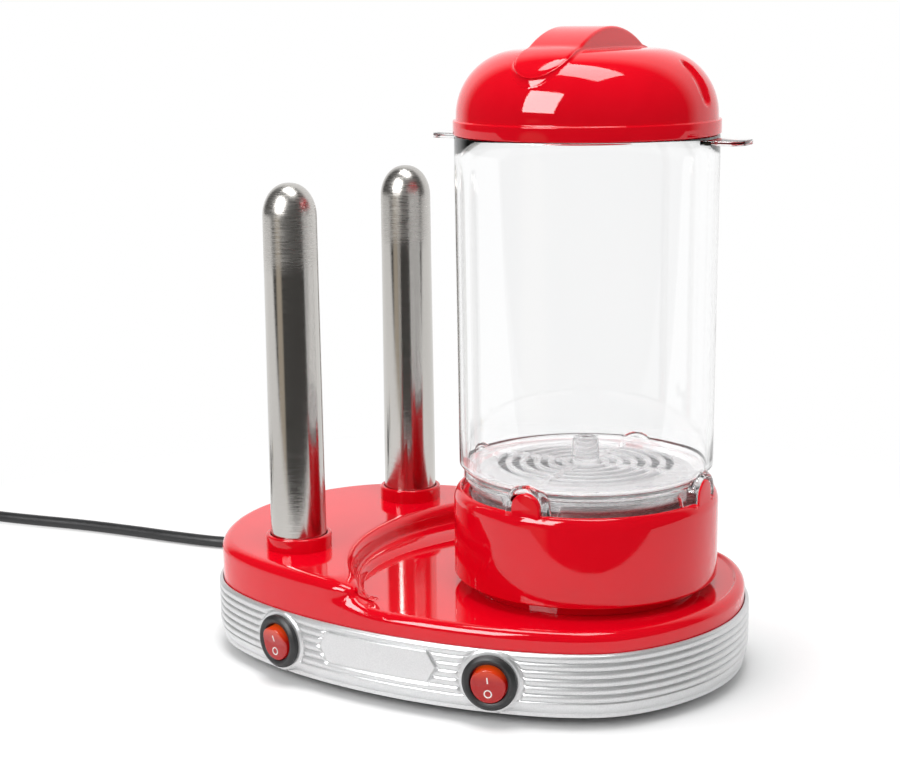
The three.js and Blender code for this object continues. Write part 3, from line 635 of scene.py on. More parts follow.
def make_plug():
    """Two-pin plug: a ringed sleeve that widens into a flat rounded body with a groove round it."""
    sections = [[0, 0.01, 0.01, 2], [0, 3.9, 3.9, 2], [-0.6, 4.3, 4.3, 2]]
    for i in range(4):
        for back, radius in ((0, 4.4), (0.3, 3.9), (0.9, 3.9), (1.2, 4.5)):
            radius += 0.2 * i
            sections.append([-2 - i * 2.2 - back, radius, radius, 2])
    sections += [
        [-10.6, 5.6, 5.3, 2.2], [-12.4, 7.6, 6.3, 2.8], [-15, 10.2, 6.8, 3.4], [-18.5, 12.3, 7, 3.8],
        [-22, 12.9, 7, 4.2], [-23.2, 12.9, 7, 4.2], [-23.5, 12.5, 6.6, 4.2], [-24.1, 12.5, 6.6, 4.2],
        [-24.4, 12.9, 7, 4.2], [-31.6, 12.9, 7, 4.4], [-32.9, 12.5, 6.6, 4.4], [-33.5, 11.6, 5.8, 4.4],
        [-33.5, 0.01, 0.01, 4.4],
    ]
    body = loft("plug_shell", sections)
    plug_back = box_mm("plug_body")[1][1]
    body.data.transform(Matrix.Translation(Vector((PLUG_X, plug_back, PLUG_Z)) * MM))
    place(body, "base", "gloss_black", "plug_body")
    pieces = [body]
    for side in ("left", "right"):
        low, high = box_mm(f"plug_pin_{side}")
        length = high[1] - low[1]
        pin = rounded([[0, 0, 0], [2, 0, 0.2], [2, length, 1.4], [0, length, 0]], False)
        along_y = Matrix.Translation(((low[0] + high[0]) / 2, high[1], PLUG_Z))
        piece = turned(f"plug_prong_{side}", pin, 32, matrix=along_y @ Matrix.Rotation(math.pi / 2, 4, "X"))
        pieces.append(place(piece, "base", "brass", f"plug_pin_{side}"))
    return pieces


# ---------------------------------------------------------------- base
def deck_height(x, y, r, depth):
    """Top surface of the red cover, r out from the jar's axis and depth in from the outline."""
    edge = 4.5
    channel = 100.8
    d = smooth_min(depth, r - channel, 18.0)
    plateau = PLATEAU - edge + round_edge(d, edge)
    near_rim = 1 - smoothstep(depth, 9, 16)
    groove = RIM + 1.2 * (1 - near_rim)
    crest = RIM + 1.6 * (1 - near_rim)
    cove = 2.0 + 3.3 * near_rim
    wall = groove + cove - np.sqrt(np.maximum(cove ** 2 - (cove + np.clip(d, -cove, 0)) ** 2, 0))
    # lip round the tray, wider towards the deck
    lip = 4.6 + 7.8 * smoothstep(50 - x, 0, 56) ** 1.3
    tray = TRAY + (RIM - TRAY) * (1 - smoothstep(depth, lip - 0.9, lip + 0.7))
    # slope up to the ridge beside the groove
    turn = np.degrees(np.arctan2(y, x - JAR_X)) % 360
    foot = 84 + 13 * smoothstep(turn, 157, 212)
    rise = np.clip((r - foot) / (99.0 - foot), 0, 1)
    slope = TRAY + (crest - TRAY) * (1 - (1 - rise) ** 2)
    slope = np.where(r > 99, crest - (crest - groove) * smoothstep(r, 99, 100), slope)
    low = smooth_max(tray, np.where(r > foot, slope, TRAY - 1), 0.25)
    # bead where the ridge meets the lip in front
    low = low + 0.9 * np.exp(-((x + 15.6) ** 2 + (y + 68.4) ** 2) / 5.0)
    low = np.where(d > -cove, smooth_max(low, wall, 0.4), low)
    rim_edge = 4.0
    return np.where(d >= 0, plateau, low - rim_edge + round_edge(depth, rim_edge))


def deck_stations():
    """Ray directions from the jar's axis, closer together where the deck comes to its front corner."""
    fine = np.linspace(-math.pi, math.pi, 20001)
    degrees = np.degrees(fine)
    weight = 1 + 5 * smoothstep(degrees, -158, -148) * (1 - smoothstep(degrees, -122, -112))
    return spread(500, fine, weight)


def resample(radius, height, count, flat_step=2.4, turn_step=math.radians(6)):
    """Points along a section, closer together where it turns."""
    dr, dz = np.diff(radius), np.diff(height)
    step = np.hypot(dr, dz)
    slope = np.unwrap(np.arctan2(dz, dr))
    turn = np.abs(np.diff(slope, prepend=slope[0]))
    turn = np.convolve(np.minimum(turn, 0.5), np.ones(9) / 9, "same")
    total = np.concatenate([[0], np.cumsum(step / flat_step + turn / turn_step)])
    wanted = np.linspace(0, total[-1], count)
    return np.interp(wanted, total, radius), np.interp(wanted, total, height)


def reach_to_outline(c, s):
    """How far it is from the jar's axis to the base outline in each direction."""
    coarse = np.linspace(0, 190, 96)
    depth = inset(JAR_X + coarse * c[:, None], coarse * s[:, None])
    reach = np.array([np.interp(0, -row, coarse) for row in depth])
    for _ in range(4):
        here = inset(JAR_X + reach * c, reach * s)
        near = inset(JAR_X + (reach - 0.5) * c, (reach - 0.5) * s)
        reach = reach + here * 0.5 / (near - here)
    return reach


def make_cover():
    throat, thickness = 47.0, 2.4
    top_count, under_count = 150, 22
    turns = deck_stations()
    c, s = np.cos(turns), np.sin(turns)
    reach = reach_to_outline(c, s)
    knots = throat + (reach[:, None] - throat) * np.sin(np.linspace(0, math.pi / 2, 90))
    knot_depth = inset(JAR_X + knots * c[:, None], knots * s[:, None])
    points = []
    for turn_c, turn_s, end, knot, depths in zip(c, s, reach, knots, knot_depth):
        fine = throat + (end - throat) * np.sin(np.linspace(0, math.pi / 2, 1100))
        fine_depth = np.maximum(np.interp(fine, knot, depths), 0)
        x, y = JAR_X + fine * turn_c, fine * turn_s
        height = deck_height(x, y, fine, fine_depth)
        radius, height = resample(np.append(fine, end), np.append(height, WALL_FOOT), top_count)
        inner = np.linspace(end - thickness, throat, under_count)
        inner_depth = np.interp(inner, knot, depths)
        lift = smoothstep(smooth_min(inner_depth - 3, inner - 104.5, 8.0), 0, 8)
        under = TRAY - thickness + (PLATEAU - TRAY) * lift
        radius = np.concatenate([radius, [end - thickness], inner])
        height = np.concatenate([height, [WALL_FOOT], under])
        points.append(spots(JAR_X + radius * turn_c, radius * turn_s, height))
    faces = grid(len(turns), len(points[0]), True, True)
    piece = mesh_object("red_cover", np.concatenate(points), faces, 50)
    return place(piece, "base", "red_plastic", "top_cover")


def switch_matrix(side):
    """Frame of a switch on its pad, with z out of it and y up; side is -1 at the left and 1 at the right."""
    x, y = oval(-math.pi / 2 + SWITCH_TURN * side, PAD_PROUD)
    turn = SWITCH_TURN * side
    axes = Matrix(((math.cos(turn), 0, math.sin(turn)), (math.sin(turn), 0, -math.cos(turn)), (0, 1, 0)))
    return Matrix.Translation((float(x), float(y), SWITCH_Z)) @ axes.to_4x4()


LABEL_Z = (label_low[2] + label_high[2]) / 2
LABEL_HALF = (label_high[0] - label_low[0]) / 2
LABEL_SHOULDER = LABEL_HALF - 4.1
LABEL_HEIGHT = (label_high[2] - label_low[2]) / 2


def label_distance(along, z):
    """Distance outside the plate with pointed ends, negative on it."""
    u, w = np.abs(along), np.abs(z - LABEL_Z)
    run, rise = LABEL_HALF - LABEL_SHOULDER, LABEL_HEIGHT
    length = math.hypot(run, rise)
    slant = ((u - LABEL_SHOULDER) * rise + w * run - run * rise) / length
    return np.maximum(w - LABEL_HEIGHT, slant)


def make_skirt():
    """Silver band with six ribs, which stop short of the label plate and of the switches' pads."""
    groove, crest, pitch, ribs = 1.15, 2.0, 3.33, 6
    top = LEDGE - 0.35
    fine = np.linspace(-1.5 * math.pi, 0.5 * math.pi, 20001)
    fine_along = along_skirt(fine)
    weight = 3 - 2 * smoothstep(np.abs(fine_along), 76, 96)
    angles = spread(760, fine, weight, np.diff(fine_along))
    along = np.interp(angles, fine, fine_along)
    sites = [np.interp(-math.pi / 2 + SWITCH_TURN * side, fine, fine_along) for side in (-1, 1)]
    rows = [(0.3, WALL_FOOT - 1.3, 0), (0.3, LEDGE, 0), (0.95, LEDGE, 0), (1.1, LEDGE - 0.12, 0)]
    for i in range(ribs):
        for t in (-1, -0.95, -0.8, -0.5, -0.15, 0.2, 0.55, 0.82, 0.95):
            height = (1 - abs(t) ** 2.2) ** 0.6
            rows.append((groove, top - pitch * (i + 0.5 + 0.5 * t), height))
    end = top - pitch * ribs
    rows.append((groove, end, 0))
    rolled_under = [
        (1.38, end - 0.2), (1.5, end - 0.6), (1.52, 10.9), (1.42, 9.7), (1.18, 8.6), (0.75, 7.5),
        (0.2, 6.6), (-0.45, 5.75), (-1.2, 5.05), (-2.1, 4.45), (-3.2, 3.95), (-4.4, 3.6),
        (-5.6, 3.42), (-6.4, 3.4), (-6.4, 5.6), (-1.2, 9.5), (-1.2, WALL_FOOT - 1.3)]
    rows += [(offset, z, 0) for offset, z in rolled_under]
    points = []
    first_rib, last_outside = 4, len(rows) - 6
    for index, (offset, z, height) in enumerate(rows):
        shape = offset
        if first_rib <= index <= last_outside:
            to_switch = np.min([np.hypot(along - site, z - SWITCH_Z) for site in sites], axis=0)
            clear = np.minimum(to_switch - PAD_R - 0.55, label_distance(along, z) - 0.7)
            end_round = np.sqrt(1 - (1 - np.clip(clear / 1.7, 0, 1)) ** 2)
            shape = shape + (crest - groove) * height * end_round
            pad = groove + round_edge(PAD_R - to_switch, PAD_PROUD - groove)
            shape = np.where(to_switch < PAD_R, np.maximum(shape, pad), shape)
        points.append(spots(*oval(angles, shape), z))
    piece = mesh_object("silver_skirt", np.concatenate(points), grid(len(rows), angles.size, True, True), 60)
    x, y = oval(math.radians(97))
    cord_exit = backwards(float(x), float(y), EXIT_Z)
    for radius, low, high, steps, matrix in (
            (10.1, -14, 6, 64, switch_matrix(-1)), (10.1, -14, 6, 64, switch_matrix(1)),
            (5.3, -10, 10, 48, cord_exit)):
        hole = turned("hole", [[0, low], [radius, low], [radius, high], [0, high]], steps, matrix=matrix)
        combine(piece, hole, "DIFFERENCE", 60)
    return place(piece, "base", "silver", "base_skirt")


def make_label():
    """Blank plate with pointed ends, which follows the curve of the skirt."""
    fine = np.linspace(-math.pi / 2 - 0.6, -math.pi / 2 + 0.6, 4001)
    along = along_skirt(fine)
    ends = np.concatenate([np.linspace(-LABEL_HALF + 0.15, -LABEL_SHOULDER + 0.8, 12),
                           np.linspace(-LABEL_SHOULDER + 1.6, LABEL_SHOULDER - 1.6, 40),
                           np.linspace(LABEL_SHOULDER - 0.8, LABEL_HALF - 0.15, 12)])
    share = np.array([-1, -0.985, -0.96, -0.92, -0.85, -0.6, -0.2, 0.2, 0.6, 0.85, 0.92, 0.96, 0.985, 1])
    foot, face, edge = 1.2, 1.95, 0.45
    points = []
    for u in ends:
        half = LABEL_HEIGHT * min(1, (LABEL_HALF - abs(u)) / (LABEL_HALF - LABEL_SHOULDER))
        z = LABEL_Z + half * share
        lift = face - edge + round_edge(-label_distance(u, z), edge)
        offsets = np.array([foot, *lift, foot])
        points.append(spots(*oval(np.interp(u, along, fine), offsets), [z[0], *z, z[-1]]))
    count = len(points[0])
    faces = grid(len(ends), count).tolist()
    faces += [[row * count + i for i in range(count)] for row in (0, len(ends) - 1)]
    piece = mesh_object("blank_plate", np.concatenate(points), faces, 50)
    return place(piece, "base", "label", "label_plate", look="silver")


def make_feet():
    for node in ("foot_front_left", "foot_front_right", "foot_rear_left", "foot_rear_right"):
        centre = sum(box_mm(node)) / 2
        profile = rounded([[0, 0, 0], [5.2, 0, 0.3], [5.6, 0.35, 0.3], [6.8, 0.35, 0.5], [7.5, 1.0, 0.4],
                           [7.5, 2.8, 0.2], [2.5, 2.8, 0], [2.5, 5.6, 0], [3.2, 6.4, 0.3], [1.2, 7.4, 0.3],
                           [0, 7.4, 0]], False, 3)
        place(turned(f"rubber_{node}", profile, 48, centre[:2]), "base", "rubber", node)


# ---------------------------------------------------------------- spikes
def make_spikes():
    """Steel tubes with round tips and a flange under the deck, each in a red collar."""
    foot_r, top_r, wall, crown_h = 12.4, 11.75, 0.9, 14.5
    quarter = np.linspace(0, math.pi / 2, 25)
    for where in ("front", "rear"):
        low, high = box_mm(f"spike_{where}")
        centre = (low + high)[:2] / 2
        under, tip = low[2], high[2]
        spring = tip - crown_h

        def crown(radius, height, angles):
            return [[radius * math.cos(a) ** 0.92, spring + height * math.sin(a)] for a in angles]

        outer = [[15.9, under], [15.9, under + 1], [12.5, under + 1], [foot_r, under + 1.6]]
        outer += zip(np.linspace(foot_r, top_r, 30), np.linspace(under + 2, spring, 30))
        outer += [*crown(top_r, crown_h, quarter[1:-1]), [0, tip]]
        inner = [[11.5, under], *crown(top_r - wall, crown_h - 1, np.linspace(0, math.pi / 2 - 0.1, 12))]
        profile = [*outer[::-1], *inner, [0, tip - 1]]
        piece = turned(f"steel_spike_{where}", profile, 96, centre, sharp=45)
        place(piece, "base", "polished_steel", f"spike_{where}")
        foot, top = PLATEAU - 0.05, box_mm(f"collar_{where}")[1][2]
        ring = rounded([[12.75, foot, 0], [14.6, foot, 0], [14.6, top, 0.8], [12.75, top, 0.45]])
        place(turned(f"red_collar_{where}", ring, 96, centre), "base", "red_plastic", f"collar_{where}")


# ---------------------------------------------------------------- steam drum, pan, jar, grate
def drum_tab(turn):
    """Upright tab with a round top, bent round the jar's axis at the given turn."""
    radius, thickness = 53.15, 2.9
    foot, shoulder = SEAT - 1.5, TAB_TOP - TAB_HALF
    outline = [(-TAB_HALF, foot), (TAB_HALF, foot), *arc((0, shoulder), (TAB_HALF, TAB_HALF), 0, 180, 33)]
    piece = prism("tab", outline, 0, thickness, True)
    bevel(piece, 0.7, 4)

    def wrapped(points):
        angle = turn + points[:, 1] / (radius + 1.5)
        reach = radius + points[:, 0]
        return spots(JAR_X + reach * np.cos(angle), reach * np.sin(angle), points[:, 2])

    move_points(piece, wrapped)
    return piece


def make_drum():
    """Round housing with an elliptical shoulder, a seat for the jar and a narrower neck below."""
    across, up = 3.0, 5.5
    shoulder = arc((DRUM_R - across, DRUM_TOP - up), (across, up), 0, 90, 14)
    profile = rounded([
        [DRUM_R, DRUM_FOOT, 1.2], *([x, y, 0] for x, y in shoulder), [53.6, DRUM_TOP - 0.5, 0.3],
        [53.3, SEAT, 0.3], [50.4, SEAT, 0.3], [50.4, 77.6, 0], [47.4, 77.6, 0.5], [47.4, 46.5, 0],
        [44.7, 44.5, 0], [44.7, 35, 0], [46.7, 35, 0], [46.7, TRAY + 0.1, 0], [49.5, TRAY + 0.1, 0],
        [49.5, DRUM_FOOT - 0.6, 0.4], [DRUM_R - 1.6, DRUM_FOOT - 0.6, 0.5],
    ], steps=8)
    piece = turned("red_drum", profile, 192, (JAR_X, 0))
    for i in range(4):
        combine(piece, drum_tab(i * math.pi / 2), "UNION")
    return place(piece, "base", "red_plastic", "steam_drum")


def make_pan():
    profile = rounded([
        [0, 56, 0], [40, 56, 0], [44, 60, 2.5], [45, 77.9, 0.4], [49.8, 77.9, 0.4], [49.8, 78.9, 0.4],
        [46.4, 79.2, 0.4], [46.4, 82.8, 0.8], [50.0, 83.2, 0.5], [50.0, 87.6, 0.4], [49.2, 87.6, 0.4],
        [49.2, 84.2, 0.4], [45.4, 83.6, 0.8], [44.2, 78.2, 1.0], [42.8, 61, 2.0], [39.5, 57.2, 2.0],
        [0, 57.2, 0],
    ], False, 6)
    return place(turned("metal_pan", profile, 128, (JAR_X, 0)), "base", "aluminium", "water_pan")


JAR_RING_R = 52.4
JAR_EDGE = 86.6


def jar_outside(along, z):
    """Outer radius of the jar: a foot ring, the heel, the slightly flared wall and an arch over each tab."""
    wall = 54.5 + 0.9 * (z - 93) / (JAR_TOP - 93)
    heel = JAR_RING_R + (wall - JAR_RING_R) * smoothstep(z, 91.4, 93.4)
    middle = TAB_TOP - TAB_HALF
    away = np.where(z > middle, np.hypot(along, z - middle), np.abs(along))
    arch = np.sqrt(np.clip(1 - ((away - 8.35) / 1.75) ** 2, 0, 1))
    return np.maximum(heel, JAR_RING_R + 4.1 * np.where(away < 6.6, 0, arch))


def jar_foot(along):
    """Height of the jar's lower edge: a flared foot each side of a tab, cut up between them."""
    foot = smoothstep(np.abs(along), 7.0, 7.4) * (1 - smoothstep(np.abs(along), 11.6, 15.2))
    return JAR_EDGE - (JAR_EDGE - JAR_FOOT) * foot


def make_jar():
    """Clear jar, in rows up its outside, over its rim and down its inside, with four arches for the tabs."""
    fine = np.linspace(-math.pi / 4, math.pi / 4, 4001)
    quarter = spread(150, fine, 1 + 2.5 * (1 - smoothstep(np.abs(np.degrees(fine)), 14, 20)))
    angles = np.concatenate([quarter + i * math.pi / 2 for i in range(4)])
    along = np.tile(quarter, 4) * 54
    edge = jar_foot(along)
    chamfer, ring_top = 0.25, 88.0
    rows = []
    for share in (0, 0.02, 0.06, 0.15, 0.3, 0.5, 0.7, 0.85, 1):
        z = np.minimum(edge + chamfer * (share > 0) + (ring_top - edge) * share, ring_top)
        shrink = {0: 0.3, 0.02: 0.08}.get(share, 0)
        rows.append((jar_outside(along, z) - shrink, z))
    for z in (*np.arange(88.5, 98.01, 0.5), 101, 110, 150, 190, 225, JAR_TOP - 0.9):
        rows.append((jar_outside(along, z), z))
    for z, shrink in ((JAR_TOP - 0.35, 0.12), (JAR_TOP - 0.08, 0.4), (JAR_TOP, 0.8)):
        rows.append((jar_outside(along, JAR_TOP) - shrink, z))
    rows += [
        (54.2, JAR_TOP), (53.7, JAR_TOP - 0.1), (53.4, JAR_TOP - 0.5), (53.35, 225), (53.1, 190),
        (52.8, 150), (52.6, 110), (52.5, 94), (52.4, 92.9), (52.2, 91.2), (51.9, 90.7), (51.4, 90.5),
        (47.4, 90.5), (47.1, 90.4), (47.0, 90.1), (47.0, 88.8), (47.2, 88.5), (50.0, 88.4), (50.5, 88.1),
        (50.6, edge + chamfer), (50.8, edge)]
    points = [spots(JAR_X + r * np.cos(angles), r * np.sin(angles), z) for r, z in rows]
    piece = mesh_object("clear_jar", np.concatenate(points), grid(len(rows), angles.size, True, True), 50)
    for side in (-1, 1):
        combine(piece, lug(side), "UNION", 50)
    return place(piece, "jar", "clear_plastic", "jar")


def lug(side):
    """Flat handle of the jar, just under the lid."""
    inner, reach, half = 53.6, jar_high[0] - JAR_X, 9.0
    outline = rounded([[inner, -half, 0], [reach, -half, 6], [reach, half, 6], [inner, half, 0]], steps=8)
    piece = prism("lug", outline, 230.3, 232.3)
    bevel(piece, 0.45, 3)
    half_turn = Matrix.Rotation(0 if side > 0 else math.pi, 4, "Z")
    piece.data.transform(Matrix.Translation((JAR_X * MM, 0, 0)) @ half_turn)
    return piece


def make_grate():
    """Clear plate with rings of slots between four spokes, and a knob to lift it by."""
    low, spoke_half = 90.9, 2.2
    slots = [12 + row * 6.1 for row in range(5)]
    edges = [2.0, *(round(slot + side * 1.6, 3) for slot in slots for side in (-1, 1)), 46.0, 49.0, 51.4]
    bands, steps = len(edges) - 1, 240
    turn = 2 * math.pi * np.arange(steps) / steps
    off_spoke = np.abs((turn + math.pi / steps + math.pi / 4) % (math.pi / 2) - math.pi / 4)
    solid = np.ones((bands, steps), bool)
    for band in range(bands):
        middle = (edges[band] + edges[band + 1]) / 2
        if min(abs(middle - slot) for slot in slots) < 0.5:
            solid[band] = off_spoke * middle < spoke_half
    points = [(JAR_X + radius * math.cos(t), radius * math.sin(t), z)
              for z in (low, GRATE_TOP) for radius in edges for t in turn]

    def at(level, ring, step):
        return (level * len(edges) + ring) * steps + step % steps

    def upright(first, second):
        return [at(0, *first), at(0, *second), at(1, *second), at(1, *first)]

    faces = []
    for band, i in zip(*np.nonzero(solid)):
        corners = [(band, i), (band + 1, i), (band + 1, i + 1), (band, i + 1)]
        faces += [[at(level, *corner) for corner in corners] for level in (0, 1)]
        if band == 0 or not solid[band - 1, i]:
            faces.append(upright(corners[0], corners[3]))
        if band == bands - 1 or not solid[band + 1, i]:
            faces.append(upright(corners[1], corners[2]))
        if not solid[band, i - 1]:
            faces.append(upright(corners[0], corners[1]))
        if not solid[band, (i + 1) % steps]:
            faces.append(upright(corners[3], corners[2]))
    used = sorted({v for face in faces for v in face})
    renumber = {v: i for i, v in enumerate(used)}
    plate = mesh_object("clear_grate", [points[v] for v in used], [[renumber[v] for v in f] for f in faces])
    bevel(plate, 0.35, 2)
    knob = rounded([[0, GRATE_TOP - 0.3, 0], [7.4, GRATE_TOP - 0.3, 0], [5.9, GRATE_TOP + 1.2, 1.2],
                    [5.6, KNOB_TOP - 1, 0], [5.6, KNOB_TOP, 1.0], [4.4, KNOB_TOP, 0.5],
                    [4.0, KNOB_TOP - 0.8, 0.4], [0, KNOB_TOP - 0.9, 0]], False)
    place(turned("clear_knob", knob, 64, (JAR_X, 0)), "grate", "clear_plastic")
    return place(plate, "grate", "clear_plastic", "steam_grate", look="thin_clear")


# ---------------------------------------------------------------- lid
FLAT_R = CORNER + 0.5


def dome(radius):
    """Height of the lid's dome: nearly flat out to FLAT_R, then round with the radius CORNER."""
    over = np.clip(radius - FLAT_R, 0, CORNER)
    shoulder = DOME_TOP - CORNER + np.sqrt(np.maximum(CORNER ** 2 - over ** 2, 0))
    return shoulder + 0.35 * np.clip(1 - (radius / 27.5) ** 2, 0, 1)


def make_lid():
    """Hollow dome with a band, an inner lip and a finger dimple in each side of its shoulder."""
    spring, steps = DOME_TOP - CORNER, 288
    shoulder = arc((FLAT_R, spring), (CORNER, CORNER), 90, 0, 50)
    crown = [[r, dome(r)] for r in np.linspace(0, FLAT_R, 14)[:-1]]
    band = rounded([[54.5, spring, 0], [54.6, BAND_TOP, 0.35], [BAND_R, BAND_TOP, 0.5],
                    [BAND_R, LID_FOOT, 0.4], [52.9, LID_FOOT, 0.2], [52.9, lid_low[2], 0.3],
                    [50.9, lid_low[2], 0.3], [50.9, LID_FOOT, 0]], False, 4)[1:]
    inner = arc((CORNER - 2, spring), (25.9, 24.5), 0, 90, 16)
    profile = np.concatenate([crown, shoulder, band, inner, [[12, DOME_TOP - 2.4], [0, DOME_TOP - 2.3]]])
    points, faces = revolve(profile, steps)
    top = points[:(len(crown) + len(shoulder)) * steps]
    radius = np.hypot(top[:, 0], top[:, 1])
    slope = np.arctan2(np.clip(top[:, 2] - spring, 0, None), np.clip(radius - FLAT_R, 1e-6, None))
    dimple = 1 - (top[:, 1] / 4.0) ** 2 - ((np.degrees(slope) - 33) / 24) ** 4
    sink = 2.1 * np.sqrt(np.clip(dimple, 0, 1)) * smoothstep(dimple, 0, 0.35)
    top[:, :2] *= (1 - sink * np.cos(slope) / np.maximum(radius, 1))[:, None]
    top[:, 2] -= sink * np.sin(slope)
    piece = mesh_object("red_lid", points + (JAR_X, 0, 0), faces, 50)
    place(piece, "lid", "red_plastic", "lid")
    return make_grip()


def make_grip():
    """Half-moon ridge over the lid, front to back: round ends, a rounded edge and a fillet at its foot."""
    half_width, half_length = 12.0, 50.0
    arc_r, end_rise = 59.5, 1.6
    fillet, edge, buried = 1.2, 1.3, 1.2
    side = np.linspace(-1, 1, 90)[1:-1]
    round_end = np.linspace(0, math.pi, 25)
    flat = np.zeros(side.size)
    spine = np.concatenate([0 * round_end + 1, -side, 0 * round_end - 1, side]) * (half_length - half_width)
    normal = np.concatenate([round_end, flat + math.pi, round_end + math.pi, flat])
    across, along = np.cos(normal), np.sin(normal)

    def plan(offset):
        reach = half_width - offset
        return np.column_stack([reach * across, spine + reach * along])

    def ground(xy):
        return dome(np.hypot(xy[:, 0], xy[:, 1]))

    def crown(xy):
        arc = LID_TOP - arc_r + np.sqrt(np.maximum(arc_r ** 2 - xy[:, 1] ** 2, 0))
        return smooth_max(arc, ground(xy) + end_rise, 0.8)

    foot = ground(plan(0)) + fillet
    head = np.maximum(crown(plan(edge)) - edge, foot)
    rows = []
    for offset in (half_width, 9, 6, 3, 0, -fillet):
        rows.append((plan(offset), ground(plan(offset)) - buried))
    for angle in np.linspace(0, math.pi / 2, 7):
        xy = plan(-fillet * (1 - math.sin(angle)))
        rows.append((xy, ground(xy) + fillet * (1 - math.cos(angle))))
    for share in np.linspace(0, 1, 7)[1:-1]:
        rows.append((plan(0), foot + (head - foot) * share))
    for angle in np.linspace(0, math.pi / 2, 8):
        xy = plan(edge * (1 - math.cos(angle)))
        rows.append((xy, np.maximum(crown(xy) - edge * (1 - math.sin(angle)), np.minimum(head, crown(xy)))))
    for offset in (2, 3.2, 5, 7.2, 9.6, half_width):
        rows.append((plan(offset), crown(plan(offset))))
    points = np.concatenate([np.column_stack([xy, z]) for xy, z in rows]) + (JAR_X, 0, 0)
    piece = mesh_object("lid_grip", points, grid(len(rows), len(spine)), 45)
    return place(piece, "lid", "red_plastic")


# ---------------------------------------------------------------- switches
def make_switches():
    for side, where in ((-1, "left"), (1, "right")):
        matrix = switch_matrix(side)
        bezel = rounded([
            [8.0, 0.2, 0.2], [8.0, 2.2, 0.9], [10.0, 2.9, 1.2], [11.6, 1.6, 0.7], [11.6, 0.05, 0.1],
            [9.7, 0.05, 0], [9.7, -16.5, 0.5], [0, -16.5, 0], [0, -14.5, 0], [8.3, -14.5, 0.3], [8.3, -1, 0],
        ])
        inside_axis = int(np.argmin(np.hypot(bezel[:, 0], bezel[:, 1] + 14.5)))
        bezel = np.roll(bezel, -inside_axis, axis=0)
        piece = turned(f"black_bezel_{where}", bezel, 96, matrix=matrix)
        place(piece, "base", "black_plastic", f"switch_bezel_{where}")
        make_rocker(where, matrix)


def make_rocker(where, matrix):
    """Round rocker, dished to a valley across its middle, with a raised bar above and a ring below."""
    radius, valley, edge, tilt, steps = 7.45, 3.1, 0.6, math.radians(9), 72
    turn = 2 * math.pi * np.arange(steps) / steps
    bend = np.linspace(0.3, math.pi / 2, 5)
    face = [radius, *(radius - edge + edge * np.cos(bend)), 6.0, 5.0, 4.0, 3.0, 2.0, 1.0, 0.001]
    drop = [edge, *(edge - edge * np.sin(bend)), *[0] * 7]
    points = [spots(r * np.cos(turn), r * np.sin(turn), -3.0) for r in (0.001, radius)]
    for r, down in zip(face, drop):
        y = r * np.sin(turn)
        z = valley + (np.sqrt(y ** 2 + 0.5) - 0.4) * math.tan(tilt) - down
        points.append(spots(r * np.cos(turn), y, z))
    leaning = matrix @ Matrix.Rotation(tilt, 4, "X")
    piece = mesh_object(f"lens_rocker_{where}", transformed(np.concatenate(points), leaning),
                        grid(len(points), steps), 50)
    place(piece, f"switch_{where}", "red_lens", f"rocker_{where}")

    def on_face(y):
        foot = valley + abs(y) * math.tan(tilt) - 0.02
        turn_up = Matrix.Rotation(math.copysign(tilt, y), 4, "X")
        return leaning @ Matrix.Translation((0, y, foot)) @ turn_up

    low, high = -0.15, 0.12
    profile = rounded([[1.25, low, 0], [1.75, low, 0], [1.75, high, 0.05], [1.25, high, 0.05]], steps=2)
    ring = turned(f"mark_ring_{where}", profile, 40, matrix=on_face(-3.4))
    bar = prism(f"mark_bar_{where}", [(-0.27, -1.5), (0.27, -1.5), (0.27, 1.5), (-0.27, 1.5)], low, high)
    bevel(bar, 0.06, 2)
    move_points(bar, lambda points: transformed(points, on_face(2.6)))
    for mark in (ring, bar):
        place(mark, f"switch_{where}", "red_lens", look="mark_white")


# ---------------------------------------------------------------- studio
def make_floor():
    """White floor that ends in front of the object, outside the view: the dark room shows in reflections."""
    toward_camera = np.array((math.sin(YAW), -math.cos(YAW)))
    sideways = np.array((toward_camera[1], -toward_camera[0]))
    front, back, half_width = 257, -4000, 4000
    corners = [toward_camera * reach + sideways * side for reach, side in
               ((front, -half_width), (front, half_width), (back, half_width), (back, -half_width))]
    floor = mesh_object("floor", [(x, y, 0) for x, y in corners], [[0, 1, 2, 3]])
    material, tree, shader = new_material("pale_floor", Specular_IOR_Level=0.1, Roughness=0.9)
    tree.links.new(mix(tree, noise(tree, 3), (0.90, 0.90, 0.90), (0.93, 0.93, 0.93)),
                   shader.inputs["Base Color"])
    distance = add_node(tree, "VectorMath")
    distance.operation = "LENGTH"
    tree.links.new(add_node(tree, "TexCoord").outputs["Object"], distance.inputs[0])
    far = remap(tree, distance.outputs["Value"], 0, 1, 0.16, 0.42)
    blend_over(tree, shader, far, add_node(tree, "Emission").outputs["Emission"])
    floor.data.materials.append(material)


def panel(name, spot, aim, width, height, radiance, in_diffuse=True, in_glossy=True):
    """Rectangular lamp of even radiance, seen only in the kinds of ray it is meant for."""
    data = bpy.data.lights.new(name, "AREA")
    data.shape = "RECTANGLE"
    data.size, data.size_y = width, height
    data.energy = radiance * math.pi * width * height
    light = add_object(name, data)
    light.location = spot
    light.rotation_euler = (Vector(aim) - Vector(spot)).to_track_quat("-Z", "Y").to_euler()
    light.visible_camera = False
    light.visible_diffuse = in_diffuse
    light.visible_glossy = in_glossy
    light.visible_transmission = False


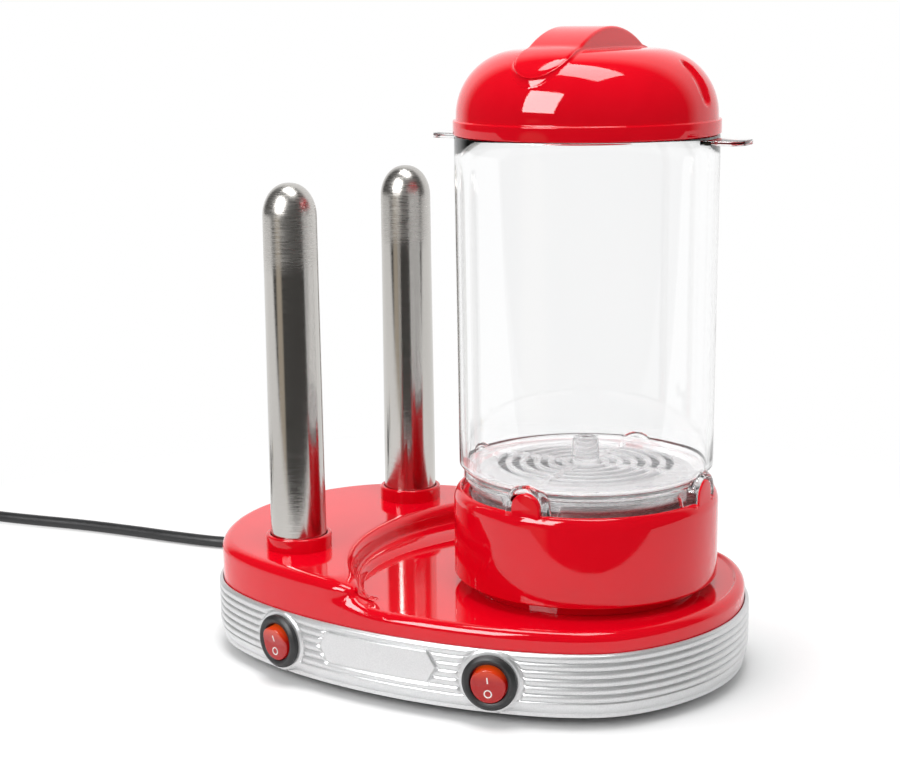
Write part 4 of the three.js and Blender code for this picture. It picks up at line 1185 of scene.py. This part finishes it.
def make_lights():
    azimuth, elevation, distance = math.radians(-16), math.radians(28), 1.5
    lid_centre = Vector((JAR_X * MM, 0, 0.25))
    level = Vector((math.sin(azimuth), -math.cos(azimuth), 0)) * math.cos(elevation)
    spot = lid_centre + (level + Vector((0, 0, math.sin(elevation)))) * distance
    panel("overhead", (0.02, -0.05, 1.4), (0.03, 0, 0.1), 0.9, 0.5, 8.5)
    panel("window", spot, lid_centre, 0.78, 0.9, 14, in_diffuse=False)
    panel("fill", spot, lid_centre, 0.78, 0.9, 4.2, in_glossy=False)


def facing(tree, direction, low, high):
    """1 where the sky lies in a direction and 0 away from it."""
    dot = add_node(tree, "VectorMath")
    dot.operation = "DOT_PRODUCT"
    dot.inputs[1].default_value = direction
    tree.links.new(add_node(tree, "TexCoord").outputs["Generated"], dot.inputs[0])
    return remap(tree, dot.outputs["Value"], 0, 1, low, high)


def make_world():
    """White all round the back, a darker room on the front side that shows in reflections."""
    world = bpy.data.worlds.new("studio")
    bpy.context.scene.world = world
    world.use_nodes = True
    tree = world.node_tree
    tree.nodes.clear()
    output = add_node(tree, "OutputWorld")
    background = add_node(tree, "Background")
    white = (1.0, 1.0, 1.0)
    back = facing(tree, (-0.216, 0.976, 0.0), 0.35, 0.6)
    # a beige wall low on the left of the room, seen in the spikes
    beige = facing(tree, (-0.33, -0.92, -0.2), 0.965, 0.985)
    room = mix(tree, back, mix(tree, beige, (0.07, 0.068, 0.065), (0.50, 0.44, 0.36)), white)
    # rays through the clear jar meet a lighter room than reflections do
    light_room = mix(tree, back, (0.62, 0.62, 0.62), white)
    path = add_node(tree, "LightPath").outputs
    lit = mix(tree, path["Is Diffuse Ray"], white, (0.6, 0.6, 0.6))
    seen = mix(tree, path["Is Glossy Ray"], lit, room)
    seen = mix(tree, path["Is Transmission Ray"], seen, light_room)
    tree.links.new(seen, background.inputs["Color"])
    tree.links.new(background.outputs["Background"], output.inputs["Surface"])
    bpy.context.scene.view_settings.view_transform = "Standard"


make_camera()
make_floor()
make_world()
make_lights()
finish_cad_nodes()
cord = make_cord()
relief = make_relief()
plug = make_plug()
make_cover()
make_skirt()
make_label()
make_feet()
make_spikes()
make_drum()
make_pan()
make_jar()
make_grate()
make_lid()
make_switches()
